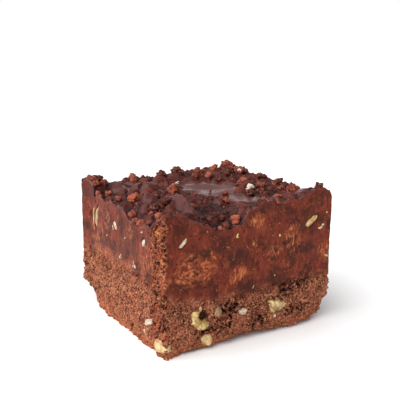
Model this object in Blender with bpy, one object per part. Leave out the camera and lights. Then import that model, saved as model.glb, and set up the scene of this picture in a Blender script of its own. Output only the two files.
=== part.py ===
# A square of layered nut brownie: a crumbly base, a thick fudge layer, and a chocolate glaze strewn
# with baked crumbs. Nut pieces sit in pockets in the cut faces.
#
# The square stands on z = 0 with the middle of its footprint at the origin. The front cut faces -Y
# and the left cut faces -X. Every length here is in millimetres, and MM turns it into Blender's metres.

import math
import random

import bmesh
import bpy
from mathutils import Matrix, Vector, noise

MM = 0.001

# The cut square
WIDTH = 60.0
DEPTH = 58.0
HALF_X = WIDTH / 2
HALF_Y = DEPTH / 2
CORNER_EASE = 0.5
LAYER_GAP = 0.4
NUT_GAP = 0.35
RING = 2.0  # the outermost cells are this wide in every layer, so that facing layers match

# Heights along the top of each cut face, as (place along the face, height)
FRONT_RIM = ((-30, 41.0), (-24, 40.7), (-20.5, 38.4), (-16, 36.6), (-13, 34.7), (-8, 34.8), (-5, 35.6),
             (-1.5, 39.8), (3, 41.6), (9, 40.9), (15, 41.0), (20, 42.5), (25, 43.8), (28.5, 43.0), (30, 41.0))
LEFT_RIM = ((-29, 41.0), (-26, 39.4), (-22.5, 37.0), (-17, 35.6), (-12, 34.9), (-8.5, 35.5), (-5, 36.8),
            (0, 37.9), (6, 38.5), (15, 38.5), (18.5, 38.3), (20.5, 41.6), (24, 43.0), (29, 41.6))
RIGHT_RIM = ((-29, 41.0), (-24, 42.4), (-17, 41.0), (-8, 41.0), (0, 41.6), (10, 42.2), (20, 43.0), (29, 43.0))
BACK_RIM = ((-30, 41.6), (-25, 43.0), (-21.5, 40.2), (-15, 41.0), (0, 41.4), (15, 42.2), (30, 43.0))
# How far inwards the front, left, right and back rims are felt
RIM_REACHES = (8.0, 4.5, 6.0, 5.0)

# Where the crumb base ends and the fudge begins, read the same way. Inside, the seam is level.
SEAM_LEVEL = 17.0
FRONT_SEAM = ((-30, 18.0), (-24, 16.6), (-17, 15.4), (-8, 14.8), (4, 15.3), (14, 16.0), (22, 16.8), (30, 16.2))
LEFT_SEAM = ((-29, 18.0), (-24, 19.8), (-14, 20.6), (-2, 20.0), (6, 19.4), (16, 19.8), (29, 18.2))
RIGHT_SEAM = ((-29, 16.2), (-12, 17.0), (4, 15.6), (18, 17.4), (29, 17.0))
BACK_SEAM = ((-30, 18.2), (-14, 17.0), (0, 18.2), (16, 16.4), (30, 17.0))

# The foot of the front arches clear of the ground, as (x, height), and comes down to it further in
FRONT_FOOT = ((-28, 0), (-24.5, 0.5), (-22, 1.2), (-18, 0.9), (-15, 0.6), (-12, 1.3), (-8, 1.9), (-4, 2.2),
              (1, 2.3), (6, 1.5), (12, 1.1), (16, 1.0), (19, 1.6), (25, 1.0), (28, 1.8))
FOOT_REACH = 13.0
FOOT_HEIGHT, FOOT_WEAR = 3.0, 0.5  # the foot of each cut is rubbed away this high and this deep
# Lower corners that are worn away: side in x and y, top of the wear, how far, and how much more at the foot
WORN_CORNERS = ((-1, 1, 6.8, 2.7, 1.2), (1, -1, 7.6, 1.5, 1.0))
WORN_SPREAD = 6.7

# Relief of the cut faces, as (size across, height, seed)
BASE_BUMPS = ((7.0, 0.35, 1.3), (2.6, 0.45, 5.9), (1.4, 0.3, 9.1))
FOOT_BUMPS = ((6.0, 0.6, 4.4), (2.0, 0.5, 2.2))
FUDGE_BUMPS = ((9.0, 0.22, 6.3), (3.0, 0.12, 8.2))
STRIP_BUMPS = ((2.2, 0.55, 3.7),)
STRIP_WIDTH, STRIP_SINK = 6.5, 0.3  # the fudge crumbles beside the near upright edge of the left face
PIT_SPACING, PIT_SIZE, PIT_DEPTH = 3.4, 0.42, 0.9
MOST_OUT, MOST_IN = 0.5, -2.4

# Glaze
GLAZE_THICK = 1.9
GLAZE_RIM_THICK = 0.8
TOP_LEVEL = 39.8
TOP_RISE = 0.025  # the top climbs a little towards the back right
POOL = (6.5, 1.0, 9.5, 13.0)  # smooth pool of glaze: middle and half sizes
RIPPLES = ((6.0, 0.5, 3.1),)
# Broad lumps and folds of the top, as (x, y, half size along x, half size along y, height)
LUMPS = (
    (-15.0, 10.5, 4.6, 3.8, 1.7), (-22.0, 20.5, 2.6, 3.0, 1.1), (-21.0, -0.5, 4.2, 2.0, 1.3),
    (-14.6, -11.0, 2.3, 8.5, 2.2), (-7.3, 5.0, 3.6, 3.4, 1.4), (19.0, -9.0, 6.0, 5.5, 1.0),
    (24.0, 18.0, 6.5, 7.5, 1.4), (0.0, 25.0, 8.0, 2.6, 1.0),
)
DIPS = ((-4.0, -15.5, 5.5, 4.5, -1.6),)
# A split in the rim beside the raised corner at the back left: its place, length, width, lowest point and height
SPLIT_Y, SPLIT_LENGTH, SPLIT_WIDTH, SPLIT_FOOT, SPLIT_HEIGHT = 18.6, 7.0, 1.6, 35.6, 12.0

# Baked crumbs on the glaze, as (x, y, radius): those that stand out along the rims, then inside them
RIM_CRUMBS = (
    (-26.7, 15.3, 1.5), (-27.1, 6.1, 1.4), (-27.4, -8.9, 1.5), (-27.6, -14.2, 1.2), (-12.8, 25.8, 2.0),
    (-1.3, 26.4, 2.0), (5.7, 26.8, 2.4), (14.2, 27.0, 1.8), (21.4, 26.4, 1.9), (26.4, 24.4, 3.0),
    (26.6, 16.0, 2.2), (27.4, 4.7, 1.9), (26.6, -5.7, 2.2), (22.9, -18.0, 2.1), (25.6, -27.4, 1.5),
)
INNER_CRUMBS = (
    (-24.2, 1.7, 2.1), (-16.5, 0.3, 2.0), (-7.3, 4.8, 2.5), (-16.8, -6.8, 2.1), (-22.1, -10.4, 2.4),
    (10.5, 20.6, 2.1), (9.4, -12.3, 2.1), (17.6, -11.2, 2.0), (24.0, -12.4, 2.0), (0.6, -14.3, 2.2),
    (-3.2, -22.9, 2.2),
)
# The others are strewn by chance in patches, as (lowest x, highest x, lowest y, highest y, how many)
STREWN_PATCHES = ((-8, 8, -24, -8, 8), (14, 27, -16, 20, 8), (-27, -4, -20, 27, 8))
STREWN_SEED = 11
SMALLEST_CRUMB, LARGEST_CRUMB = 1.2, 2.0
CRUMB_ROUGHNESS = 0.42
CRUMB_STRETCH = (1.0, 0.85, 0.8)
CRUMB_RISE = 0.28  # share of its radius that a crumb's middle lies above the glaze
CRUMB_SINK = 0.5  # share of the glaze's thickness that a crumb is sunk into
FINE_CRUMB = 2.05  # from this radius up a crumb gets more faces

# Nut pieces: face, place along it, height, length, breadth, how deep, turn in degrees and seed
NUTS = {
    "walnut_front": ("front", 9.3, 8.7, 7.4, 5.6, 5.0, -12, 3),
    "nut_front_foot": ("front", -15.7, 2.9, 4.2, 3.5, 3.6, 70, 5),
    "nut_front_pale": ("front", -3.3, 9.2, 3.3, 2.2, 2.4, -10, 7),
    "nut_front_faint": ("front", -12.0, 10.6, 2.8, 3.4, 2.4, 0, 8),
    "nut_corner": ("left", -26.3, 3.4, 6.4, 4.8, 4.6, 8, 9),
    "nut_left_white": ("left", -19.6, 7.9, 4.9, 2.4, 2.8, 20, 12),
    "almond_front": ("front", 21.9, 33.7, 5.9, 2.3, 2.6, 34, 14),
    "sliver_front": ("front", -23.9, 32.6, 3.9, 1.3, 2.0, 48, 15),
    "sliver_left_long": ("left", 17.4, 31.4, 8.2, 1.3, 2.0, 76, 17),
    "sliver_left_high": ("left", 2.6, 31.7, 3.2, 1.3, 2.0, -55, 18),
    "sliver_left_mid": ("left", -17.0, 30.7, 2.6, 1.5, 2.0, 72, 19),
    "walnut_back": ("back", 12.0, 8.4, 7.0, 5.4, 5.0, 25, 23),
    "nut_back": ("back", -11.5, 6.2, 4.4, 3.6, 3.6, -30, 24),
    "almond_back": ("back", -4.0, 29.5, 6.0, 2.4, 2.6, 18, 26),
    "walnut_right": ("right", -6.5, 9.0, 6.6, 5.2, 4.6, -24, 27),
    "nut_right_pale": ("right", 13.0, 5.0, 3.8, 2.8, 3.0, 40, 28),
    "sliver_right": ("right", 6.0, 30.6, 5.0, 1.5, 2.0, 62, 29),
}
NUT_ROUGHNESS = 0.3
NUT_SUNK = 0.32  # share of its depth that a nut's middle lies behind the cut face
SLIVER_BREADTH = 2.0  # up to this breadth a piece is a plain sliver
CURL_NAME = "walnut_curled"
CURL_X, CURL_Z, CURL_SUNK = -17.6, 10.3, 0.9
CURL_RADIUS, CURL_ROD = 2.45, 1.25
CURL_BUMPS = ((2.2, 0.2, 4.0),)
CURL_POCKET = (4.5, 2.9, 4.4)

CRUMB_COLOUR = (0.23, 0.095, 0.058, 1)
FUDGE_COLOUR = (0.115, 0.036, 0.024, 1)
GLAZE_COLOUR = (0.055, 0.021, 0.017, 1)
NUT_COLOUR = (0.56, 0.43, 0.19, 1)


# Scene helpers

def clear_scene():
    for thing in list(bpy.data.objects):
        bpy.data.objects.remove(thing, do_unlink=True)


def collection(name):
    made = bpy.data.collections.new(name)
    bpy.context.scene.collection.children.link(made)
    return made


def drop(unwanted):
    """Removes a collection and all that is in it."""
    for thing in list(unwanted.objects):
        bpy.data.objects.remove(thing, do_unlink=True)
    bpy.data.collections.remove(unwanted)


def material(name, colour, roughness):
    made = bpy.data.materials.new(name)
    made.use_nodes = True
    shader = made.node_tree.nodes["Principled BSDF"]
    shader.inputs["Base Color"].default_value = colour
    shader.inputs["Roughness"].default_value = roughness
    shader.inputs["Metallic"].default_value = 0.0
    return made


def finished(name, mesh, look, home):
    """An object in the collection home, made from a bmesh."""
    data = bpy.data.meshes.new(name)
    mesh.to_mesh(data)
    mesh.free()
    data.shade_smooth()
    if look:
        data.materials.append(look)
    thing = bpy.data.objects.new(name, data)
    home.objects.link(thing)
    return thing


def combine(thing, operation, others):
    """Joins a collection's objects to a thing, or cuts them out of it."""
    boolean = thing.modifiers.new("combine", "BOOLEAN")
    boolean.operation = operation
    boolean.operand_type = "COLLECTION"
    boolean.collection = others
    boolean.solver = "MANIFOLD"
    bpy.context.view_layer.update()
    evaluated = thing.evaluated_get(bpy.context.evaluated_depsgraph_get())
    data = bpy.data.meshes.new_from_object(evaluated)
    thing.modifiers.clear()
    thing.data = data


# Curves and noise

def eased(t):
    t = min(1.0, max(0.0, t))
    return t * t * (3 - 2 * t)


def along(profile, place):
    """Height of a rim, seam or foot at a place, easing from each stated height to the next."""
    if place <= profile[0][0]:
        return profile[0][1]
    for (here, low), (there, high) in zip(profile, profile[1:]):
        if place <= there:
            return low + (high - low) * eased((place - here) / (there - here))
    return profile[-1][1]


def wobble(x, y, z, size, seed):
    """Smooth noise from about -1 to 1 whose features are about size across."""
    return noise.noise(Vector((x / size + seed, y / size - seed, z / size + 2 * seed)))


def relief(bumps, x, y, z):
    return sum(height * wobble(x, y, z, size, seed) for size, height, seed in bumps)


# The shapes of the layers

def from_edge(x, y):
    return min(HALF_X - abs(x), HALF_Y - abs(y))


def around(x, y, profiles, inner, reaches):
    """A height that meets the four faces' profiles at the edges and goes over to inner in the middle."""
    front, left, right, back = profiles
    total, weights = inner, 1.0
    for away, reach, height in (
        (y + HALF_Y, reaches[0], along(front, x)), (x + HALF_X, reaches[1], along(left, y)),
        (HALF_X - x, reaches[2], along(right, y)), (HALF_Y - y, reaches[3], along(back, x)),
    ):
        weight = (reach / (max(away, 0.0) + 0.02)) ** 2
        total += weight * height
        weights += weight
    return total / weights


def broad_top(x, y, lumps):
    """The top's broad shape: level inside but for the given lumps, and meeting the rims' heights."""
    inner = TOP_LEVEL + TOP_RISE * (x + y)
    for lump_x, lump_y, half_x, half_y, height in lumps:
        inner += height * math.exp(-(((x - lump_x) / half_x) ** 2) - ((y - lump_y) / half_y) ** 2)
    return around(x, y, (FRONT_RIM, LEFT_RIM, RIGHT_RIM, BACK_RIM), inner, RIM_REACHES)


def pool_share(x, y):
    """1 in the smooth pool of glaze and 0 well outside it."""
    middle_x, middle_y, half_x, half_y = POOL
    away = math.hypot((x - middle_x) / half_x, (y - middle_y) / half_y)
    return 1 - eased((away - 0.75) / 0.4)


def top_height(x, y):
    rough = (1 - 0.85 * pool_share(x, y)) * eased(from_edge(x, y) / 3)
    return broad_top(x, y, LUMPS + DIPS) + rough * relief(RIPPLES, x, y, 0)


def under_glaze(x, y):
    """The glaze's underside follows the dips of the top, but not its lumps."""
    thick = GLAZE_RIM_THICK + (GLAZE_THICK - GLAZE_RIM_THICK) * eased(from_edge(x, y) / 6)
    return broad_top(x, y, DIPS) - thick


def seam_height(x, y):
    if from_edge(x, y) > RING / 2:
        return SEAM_LEVEL
    return around(x, y, (FRONT_SEAM, LEFT_SEAM, RIGHT_SEAM, BACK_SEAM), SEAM_LEVEL, (1, 1, 1, 1))


def foot_height(x, y):
    return along(FRONT_FOOT, x) * (1 - eased((y + HALF_Y) / FOOT_REACH))


def base_heights(x, y):
    return foot_height(x, y), seam_height(x, y) - LAYER_GAP / 2


def fudge_heights(x, y):
    return seam_height(x, y) + LAYER_GAP / 2, under_glaze(x, y) - LAYER_GAP


def glaze_heights(x, y):
    return under_glaze(x, y), top_height(x, y)


def fudge_relief(x, y, z):
    """The fudge's cut is nearly flat, but crumbles beside the near upright edge."""
    strip = eased(1 - (y + HALF_Y) / STRIP_WIDTH) if x < -HALF_X + 1 else 0.0
    return relief(FUDGE_BUMPS, x, y, z) + strip * (relief(STRIP_BUMPS, x, y, z) - STRIP_SINK)


def base_relief(x, y, z):
    """How far the crumb base stands out of its flat cut. It meets the fudge's cut at the seam."""
    out = relief(BASE_BUMPS, x, y, z)
    pit = noise.voronoi(Vector((x, y, z)) / PIT_SPACING)[0][0]
    out -= PIT_DEPTH * (1 - eased(pit / PIT_SIZE))
    foot = eased(1 - (z - foot_height(x, y)) / FOOT_HEIGHT)
    out -= foot * (FOOT_WEAR + relief(FOOT_BUMPS, x, y, z))
    own = eased((seam_height(x, y) - z) / 1.5)
    return own * max(MOST_IN, min(out, MOST_OUT)) + (1 - own) * fudge_relief(x, y, z)


def worn_corner(x, y, z):
    """How far a point moves towards the middle because a lower corner is worn away."""
    total = 0.0
    for side_x, side_y, top, much, more in WORN_CORNERS:
        away = math.hypot(x - side_x * HALF_X, y - side_y * HALF_Y)
        near = math.exp(-((away / WORN_SPREAD) ** 2))
        total += near * (much * eased((top - z) / 1.8) + more * eased((2.5 - z) / 2))
    return total


def cut_face(x, y, z, face_relief):
    """Moves a point of the block's sides in or out by the relief of its cut face."""
    on_x, on_y = abs(x) > HALF_X - 0.01, abs(y) > HALF_Y - 0.01
    out = face_relief(x, y, z) if on_x or on_y else 0.0
    if on_x and on_y:
        out -= CORNER_EASE
    worn = worn_corner(x, y, z)
    moved_x = x + math.copysign(1, x) * ((out if on_x else 0.0) - worn)
    moved_y = y + math.copysign(1, y) * ((out if on_y else 0.0) - worn)
    return moved_x, moved_y


def sliced_block(cells_x, cells_y, cells_z):
    """A block as wide and deep as the brownie and 0 to 1 high, cut by planes into cells."""
    mesh = bmesh.new()
    bmesh.ops.create_cube(mesh, size=1.0)
    bmesh.ops.translate(mesh, vec=(0, 0, 0.5), verts=mesh.verts)
    bmesh.ops.transform(mesh, matrix=Matrix.Diagonal((WIDTH, DEPTH, 1, 1)), verts=mesh.verts)
    spans = ((0, cells_x - 2, RING - HALF_X, HALF_X - RING), (1, cells_y - 2, RING - HALF_Y, HALF_Y - RING),
             (2, cells_z, 0, 1))
    for axis, cells, low, high in spans:
        for count in range(cells + 1):
            spot, normal = Vector(), Vector()
            spot[axis] = low + (high - low) * count / cells
            normal[axis] = 1
            everything = mesh.verts[:] + mesh.edges[:] + mesh.faces[:]
            bmesh.ops.bisect_plane(mesh, geom=everything, dist=1e-5, plane_co=spot, plane_no=normal)
    # Leaning over while the cells are split gives them all the same diagonal, so facing layers match.
    lean = Matrix(((1, 0.3, 0.3, 0), (0, 1, 0.3, 0), (0, 0, 1, 0), (0, 0, 0, 1)))
    bmesh.ops.transform(mesh, matrix=lean, verts=mesh.verts)
    bmesh.ops.triangulate(mesh, faces=mesh.faces, quad_method="SHORT_EDGE")
    bmesh.ops.transform(mesh, matrix=lean.inverted(), verts=mesh.verts)
    return mesh


def layer(name, cells, heights, face_relief, look, home):
    """One layer: a sliced block whose rows run from its lower to its upper height, with its sides in relief."""
    mesh = sliced_block(*cells)
    for vertex in mesh.verts:
        x, y, rise = vertex.co
        low, high = heights(x, y)
        z = low + (high - low) * rise
        vertex.co = Vector((*cut_face(x, y, z, face_relief), z)) * MM
    mesh.normal_update()
    bmesh.ops.dissolve_limit(mesh, angle_limit=0.001, verts=mesh.verts, edges=mesh.edges)
    bmesh.ops.recalc_face_normals(mesh, faces=mesh.faces)
    return finished(name, mesh, look, home)


# Crumbs

def rock(radius, detail, rough, seed):
    """A rough lump about the origin, in millimetres."""
    mesh = bmesh.new()
    bmesh.ops.create_icosphere(mesh, subdivisions=detail, radius=radius)
    for vertex in mesh.verts:
        vertex.co *= 1 + rough * wobble(*vertex.co, 0.9 * radius, 1.7 * seed)
    return mesh


def crumb_places():
    """The placed crumbs, then the strewn ones, which keep clear of them and of the pool."""
    places = list(RIM_CRUMBS + INNER_CRUMBS)
    draw = random.Random(STREWN_SEED)
    for low_x, high_x, low_y, high_y, wanted in STREWN_PATCHES:
        enough = len(places) + wanted
        while len(places) < enough:
            x, y = draw.uniform(low_x, high_x), draw.uniform(low_y, high_y)
            radius = draw.uniform(SMALLEST_CRUMB, LARGEST_CRUMB)
            clear = all(math.hypot(x - a, y - b) > 0.8 * (radius + r) for a, b, r in places)
            if clear and pool_share(x, y) < 0.3:
                places.append((x, y, radius))
    return places


def crumb(number, x, y, radius, home):
    lump = rock(radius, 2 if radius >= FINE_CRUMB else 1, CRUMB_ROUGHNESS, number)
    middle = Matrix.Translation((x, y, top_height(x, y) + CRUMB_RISE * radius))
    shape = Matrix.Diagonal((*CRUMB_STRETCH, 1)) @ Matrix.Rotation(2.4 * number, 4, "Z")
    bmesh.ops.transform(lump, matrix=middle @ Matrix.Rotation(1.7 * number, 4, "Z") @ shape, verts=lump.verts)
    for vertex in lump.verts:
        top, under = top_height(*vertex.co.xy), under_glaze(*vertex.co.xy)
        vertex.co.z = max(vertex.co.z, top - CRUMB_SINK * (top - under))
        vertex.co *= MM
    finished(f"crumb_{number}", lump, None, home)


def strew_crumbs(glaze):
    """Crumbs sunk a little into the glaze and fused to it by one Boolean union."""
    crumbs = collection("crumbs")
    for number, (x, y, radius) in enumerate(crumb_places()):
        crumb(number, x, y, radius, crumbs)
    combine(glaze, "UNION", crumbs)
    drop(crumbs)


# Nuts

def face_frame(face, place, height):
    """A frame on a cut face: its x runs along the face, its y into the food and its z up."""
    spot, degrees = {
        "front": ((place, -HALF_Y, height), 0), "right": ((HALF_X, place, height), 90),
        "back": ((place, HALF_Y, height), 180), "left": ((-HALF_X, place, height), -90),
    }[face]
    return Matrix.Translation(spot) @ Matrix.Rotation(math.radians(degrees), 4, "Z")


def nut_piece(name, growth, look, home):
    """A nut piece in its place, or grown all round for the pocket that it sits in."""
    face, place, height, length, breadth, deep, degrees, seed = NUTS[name.removeprefix("pocket_")]
    lump = rock(1.0, 2 if breadth > SLIVER_BREADTH else 1, NUT_ROUGHNESS, seed)
    size = Matrix.Diagonal((length / 2 + growth, deep / 2 + growth, breadth / 2 + growth, 1))
    tilt = Matrix.Rotation(math.radians(-degrees), 4, "Y")
    spot = face_frame(face, place, height) @ Matrix.Translation((0, NUT_SUNK * deep, 0))
    bmesh.ops.transform(lump, matrix=Matrix.Scale(MM, 4) @ spot @ tilt @ size, verts=lump.verts)
    finished(name, lump, look, home)


def curled_walnut(look, home, pockets):
    """The walnut piece that curls round a hollow, and the pocket behind it."""
    bpy.ops.mesh.primitive_torus_add(
        major_segments=14, minor_segments=7, major_radius=CURL_RADIUS, minor_radius=CURL_ROD,
    )
    curl = bpy.context.object
    curl.name = CURL_NAME
    for vertex in curl.data.vertices:
        vertex.co *= 1 + relief(CURL_BUMPS, *vertex.co)
    spot = Matrix.Scale(MM, 4) @ Matrix.Translation((CURL_X, -HALF_Y + CURL_SUNK, CURL_Z))
    curl.data.transform(spot @ Matrix.Rotation(math.radians(90), 4, "X"))
    curl.data.shade_smooth()
    curl.data.materials.append(look)
    move_to(curl, home)
    pocket = rock(1.0, 2, 0.06, 2)
    bmesh.ops.transform(pocket, matrix=spot @ Matrix.Diagonal((*CURL_POCKET, 1)), verts=pocket.verts)
    finished("pocket_" + CURL_NAME, pocket, None, pockets)


def move_to(thing, home):
    for owner in list(thing.users_collection):
        owner.objects.unlink(thing)
    home.objects.link(thing)


def split_wedge(home):
    """The four-sided wedge, point down, that splits the rim beside the raised corner."""
    bpy.ops.mesh.primitive_cone_add(vertices=4, radius1=0.0, radius2=1.0, depth=1.0)
    wedge = bpy.context.object
    wedge.name = "split_wedge"
    size = Matrix.Diagonal((SPLIT_LENGTH, SPLIT_WIDTH, SPLIT_HEIGHT, 1)) @ Matrix.Rotation(math.pi / 4, 4, "Z")
    spot = Matrix.Translation((-HALF_X, SPLIT_Y, SPLIT_FOOT + SPLIT_HEIGHT / 2))
    wedge.data.transform(Matrix.Scale(MM, 4) @ spot @ size)
    move_to(wedge, home)


def main():
    clear_scene()
    brownie = collection("nut_brownie")
    crumb_look = material("baked_crumb", CRUMB_COLOUR, 0.9)
    fudge_look = material("fudge", FUDGE_COLOUR, 0.6)
    glaze_look = material("chocolate_glaze", GLAZE_COLOUR, 0.35)
    nut_look = material("nut", NUT_COLOUR, 0.5)

    base = layer("crumb_base", (30, 29, 7), base_heights, base_relief, crumb_look, brownie)
    fudge = layer("fudge_layer", (24, 23, 7), fudge_heights, fudge_relief, fudge_look, brownie)
    glaze = layer("chocolate_glaze", (24, 23, 1), glaze_heights, fudge_relief, glaze_look, brownie)
    strew_crumbs(glaze)

    base_pockets = collection("base_pockets")
    fudge_pockets = collection("fudge_pockets")
    rim_split = collection("rim_split")
    for name, (_, _, height, *_) in NUTS.items():
        nut_piece(name, 0.0, nut_look, brownie)
        nut_piece("pocket_" + name, NUT_GAP, None, base_pockets if height < SEAM_LEVEL else fudge_pockets)
    curled_walnut(nut_look, brownie, base_pockets)
    split_wedge(rim_split)
    combine(base, "DIFFERENCE", base_pockets)
    combine(fudge, "DIFFERENCE", fudge_pockets)
    combine(fudge, "DIFFERENCE", rim_split)
    combine(glaze, "DIFFERENCE", rim_split)
    for cutters in (base_pockets, fudge_pockets, rim_split):
        drop(cutters)


main()
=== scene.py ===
import math
import random

import bmesh
import bpy
import numpy as np
from mathutils import Matrix, Vector, noise


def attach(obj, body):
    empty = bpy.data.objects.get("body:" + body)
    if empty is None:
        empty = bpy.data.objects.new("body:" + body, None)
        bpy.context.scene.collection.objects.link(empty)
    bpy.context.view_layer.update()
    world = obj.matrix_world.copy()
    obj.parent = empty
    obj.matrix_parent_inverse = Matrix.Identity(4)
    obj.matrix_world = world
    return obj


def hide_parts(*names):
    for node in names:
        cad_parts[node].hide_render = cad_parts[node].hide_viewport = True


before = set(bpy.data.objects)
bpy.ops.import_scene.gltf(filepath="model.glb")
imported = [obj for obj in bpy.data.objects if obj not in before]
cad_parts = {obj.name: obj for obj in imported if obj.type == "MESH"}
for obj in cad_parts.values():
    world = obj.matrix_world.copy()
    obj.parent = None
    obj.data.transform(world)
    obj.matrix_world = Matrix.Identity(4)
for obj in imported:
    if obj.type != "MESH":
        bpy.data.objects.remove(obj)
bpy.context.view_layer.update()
mm = 0.001

square = {
    "halfX": 30.0,
    "halfY": 29.0,
    "step": 0.25,  # spacing of the fine meshes
    "cornerRound": 1.0,
    "cornerEase": -0.35,  # below 0 the upright edges stand out a little
    "backLeftEase": -0.9,
    "facing": 0.7,  # how squarely a point has to face a side to belong to it
}
halfX, halfY = square["halfX"], square["halfY"]

# heights along the top of each cut face, as (place along it, height)
rims = {
    "front": ((-30, 41.0), (-24, 40.7), (-20.5, 38.4), (-16, 36.6), (-13, 34.7), (-8, 34.8), (-5, 35.6),
              (-1.5, 39.8), (3, 41.6), (9, 40.9), (15, 41.0), (20, 42.5), (25, 43.8), (28.5, 43.0), (30, 41.0)),
    "left": ((-29, 41.0), (-26, 39.4), (-22.5, 37.0), (-17, 35.6), (-12, 34.9), (-8.5, 35.5), (-5, 36.8),
             (0, 37.9), (6, 38.5), (15, 38.5), (18.5, 38.3), (20.5, 41.6), (24, 43.0), (29, 41.6)),
    "right": ((-29, 41.0), (-24, 42.4), (-17, 41.0), (-8, 41.0), (0, 41.6), (10, 42.2), (20, 43.0), (29, 43.0)),
    "back": ((-30, 41.6), (-25, 43.0), (-21.5, 40.2), (-15, 41.0), (0, 41.4), (15, 42.2), (30, 43.0)),
    "reach": (8.0, 4.5, 6.0, 5.0),
}

# where the crumb base ends and the fudge begins on each face
seams = {
    "front": ((-30, 18.0), (-24, 16.6), (-17, 15.4), (-8, 14.8), (4, 15.3), (14, 16.0), (22, 16.8), (30, 16.2)),
    "left": ((-29, 18.0), (-24, 19.8), (-14, 20.6), (-2, 20.0), (6, 19.4), (16, 19.8), (29, 18.2)),
    "right": ((-29, 16.2), (-12, 17.0), (4, 15.6), (18, 17.4), (29, 17.0)),
    "back": ((-30, 18.2), (-14, 17.0), (0, 18.2), (16, 16.4), (30, 17.0)),
    "reach": (1, 1, 1, 1),
    "inside": 17.0,
}


# curves and noise, all on whole arrays of points

def eased(t):
    t = np.clip(t, 0.0, 1.0)
    return t * t * (3 - 2 * t)


def along(profile, place):
    spots, heights = np.array(profile, float).T
    k = np.clip(np.searchsorted(spots, place) - 1, 0, len(spots) - 2)
    return heights[k] + (heights[k + 1] - heights[k]) * eased((place - spots[k]) / (spots[k + 1] - spots[k]))


def wobble(points, size, seed):
    shifted = points / size + np.array((seed, -seed, 2 * seed))
    return np.array([noise.noise(p) for p in shifted.tolist()])


def relief(bumps, points):
    return sum(height * wobble(points, size, seed) for size, height, seed in bumps)


def crevices(points, size, seed, level):
    # ragged holes where a noise runs low: 1 inside, 0 outside, and more of them at a higher level
    field = 0.62 * wobble(points, size, seed) + 0.38 * wobble(points, size * 0.45, seed + 5.5)
    return eased((level - field) / 0.13)


def tilted(u, w, degrees):
    turn = math.radians(degrees)
    return math.cos(turn) * u + math.sin(turn) * w, -math.sin(turn) * u + math.cos(turn) * w


def patchShare(run, height, patches, ragged):
    # soft patches of a cut face, as (place, height, half length, half height, turn in degrees)
    total = np.zeros(len(run))
    for place, level, long, high, degrees in patches:
        across, up = tilted(run - place, height - level, degrees)
        total = np.maximum(total, 1 - eased((np.hypot(across / long, up / high) + ragged - 0.55) / 0.75))
    return total


def onPlane(x, y, z=0.0):
    return np.stack([x, y, np.zeros_like(x) + z], axis=1)


# broad shape, the same as the solid's

def fromEdge(x, y):
    return np.minimum(halfX - np.abs(x), halfY - np.abs(y))


def around(x, y, profiles, inner):
    total, weights = np.zeros_like(x) + inner, np.ones_like(x)
    reach = profiles["reach"]
    for away, near, height in (
        (y + halfY, reach[0], along(profiles["front"], x)), (x + halfX, reach[1], along(profiles["left"], y)),
        (halfX - x, reach[2], along(profiles["right"], y)), (halfY - y, reach[3], along(profiles["back"], x)),
    ):
        weight = (near / (np.maximum(away, 0.0) + 0.02)) ** 2
        total = total + weight * height
        weights = weights + weight
    return total / weights


glazeTop = {
    "level": 39.8,
    "rise": 0.025,
    "pool": (6.5, 1.0, 9.5, 13.0),
    # broad lumps and dips, as (x, y, half size along x, half size along y, height)
    "lumps": (
        (-15.0, 10.5, 4.6, 3.8, 1.7), (-22.0, 20.5, 2.6, 3.0, 1.1), (-21.0, -0.5, 4.2, 2.0, 1.3),
        (-14.6, -11.0, 2.3, 8.5, 2.2), (-7.3, 5.0, 3.6, 3.4, 1.4), (19.0, -9.0, 6.0, 5.5, 1.0),
        (24.0, 18.0, 6.5, 7.5, 1.4), (0.0, 25.0, 8.0, 2.6, 1.0), (-4.0, -15.5, 5.5, 4.5, -1.6),
    ),
    "dips": ((-4.0, -15.5, 5.5, 4.5, -1.6),),
    "thick": 1.9,
    "rimThick": 0.8,
    "ripples": ((6.0, 0.5, 3.1),),
    # crumbs drowned in the glaze show as soft rounded lumps, lower in the hollows where shade is painted
    "pebbleSize": 4.7, "pebbleLow": -0.35, "pebbleHigh": 1.6, "pebbleSoft": 0.7, "pebbleAtRim": 0.45,
    "pebbleWarp": (2.8, 0.15, 3.9), "lowerInShade": 0.65,
    "knobs": ((1.6, 0.35, 4.9), (0.6, 0.1, 8.8)),
    "rimBumps": ((2.2, 1.5, 3.3), (0.9, 0.7, 6.2)),
    "rimBumpsFront": 0.6,
    "poolWaves": ((9.0, 0.75, 2.2), (4.0, 0.08, 6.1)),
    # smooth glaze that shows: (x, y, half size along x, half size along y)
    "smooth": ((5.5, 4.0, 9.5, 13.0), (5.4, -17.0, 4.8, 11.0), (21.0, -21.0, 5.0, 4.0), (-21.5, 17.0, 3.2, 4.0)),
    # where small crumbs lie thick
    "crumbled": ((-25.0, -4.0, 4.0, 8.0), (-6.5, -17.5, 4.5, 8.0), (17.0, -10.0, 5.0, 6.0), (20.0, 10.0, 6.0, 7.0),
                 (0.0, 26.5, 27.0, 2.0), (-15.0, -4.0, 5.0, 5.0), (-2.5, -6.0, 3.5, 5.0)),
    # hollows between the lumps, where shade is painted dark
    "shaded": ((-8.5, -20.5, 5.5, 9.5), (16.5, -12.5, 4.0, 4.0), (-20.0, -7.5, 3.0, 3.0), (-1.0, -12.5, 3.0, 3.5)),
}


def broadTop(x, y, lumps):
    inner = glazeTop["level"] + glazeTop["rise"] * (x + y)
    for lumpX, lumpY, sizeX, sizeY, height in lumps:
        inner = inner + height * np.exp(-(((x - lumpX) / sizeX) ** 2) - ((y - lumpY) / sizeY) ** 2)
    return around(x, y, rims, inner)


def poolShare(x, y):
    middleX, middleY, sizeX, sizeY = glazeTop["pool"]
    away = np.hypot((x - middleX) / sizeX, (y - middleY) / sizeY)
    return 1 - eased((away - 0.75) / 0.4)


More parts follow.
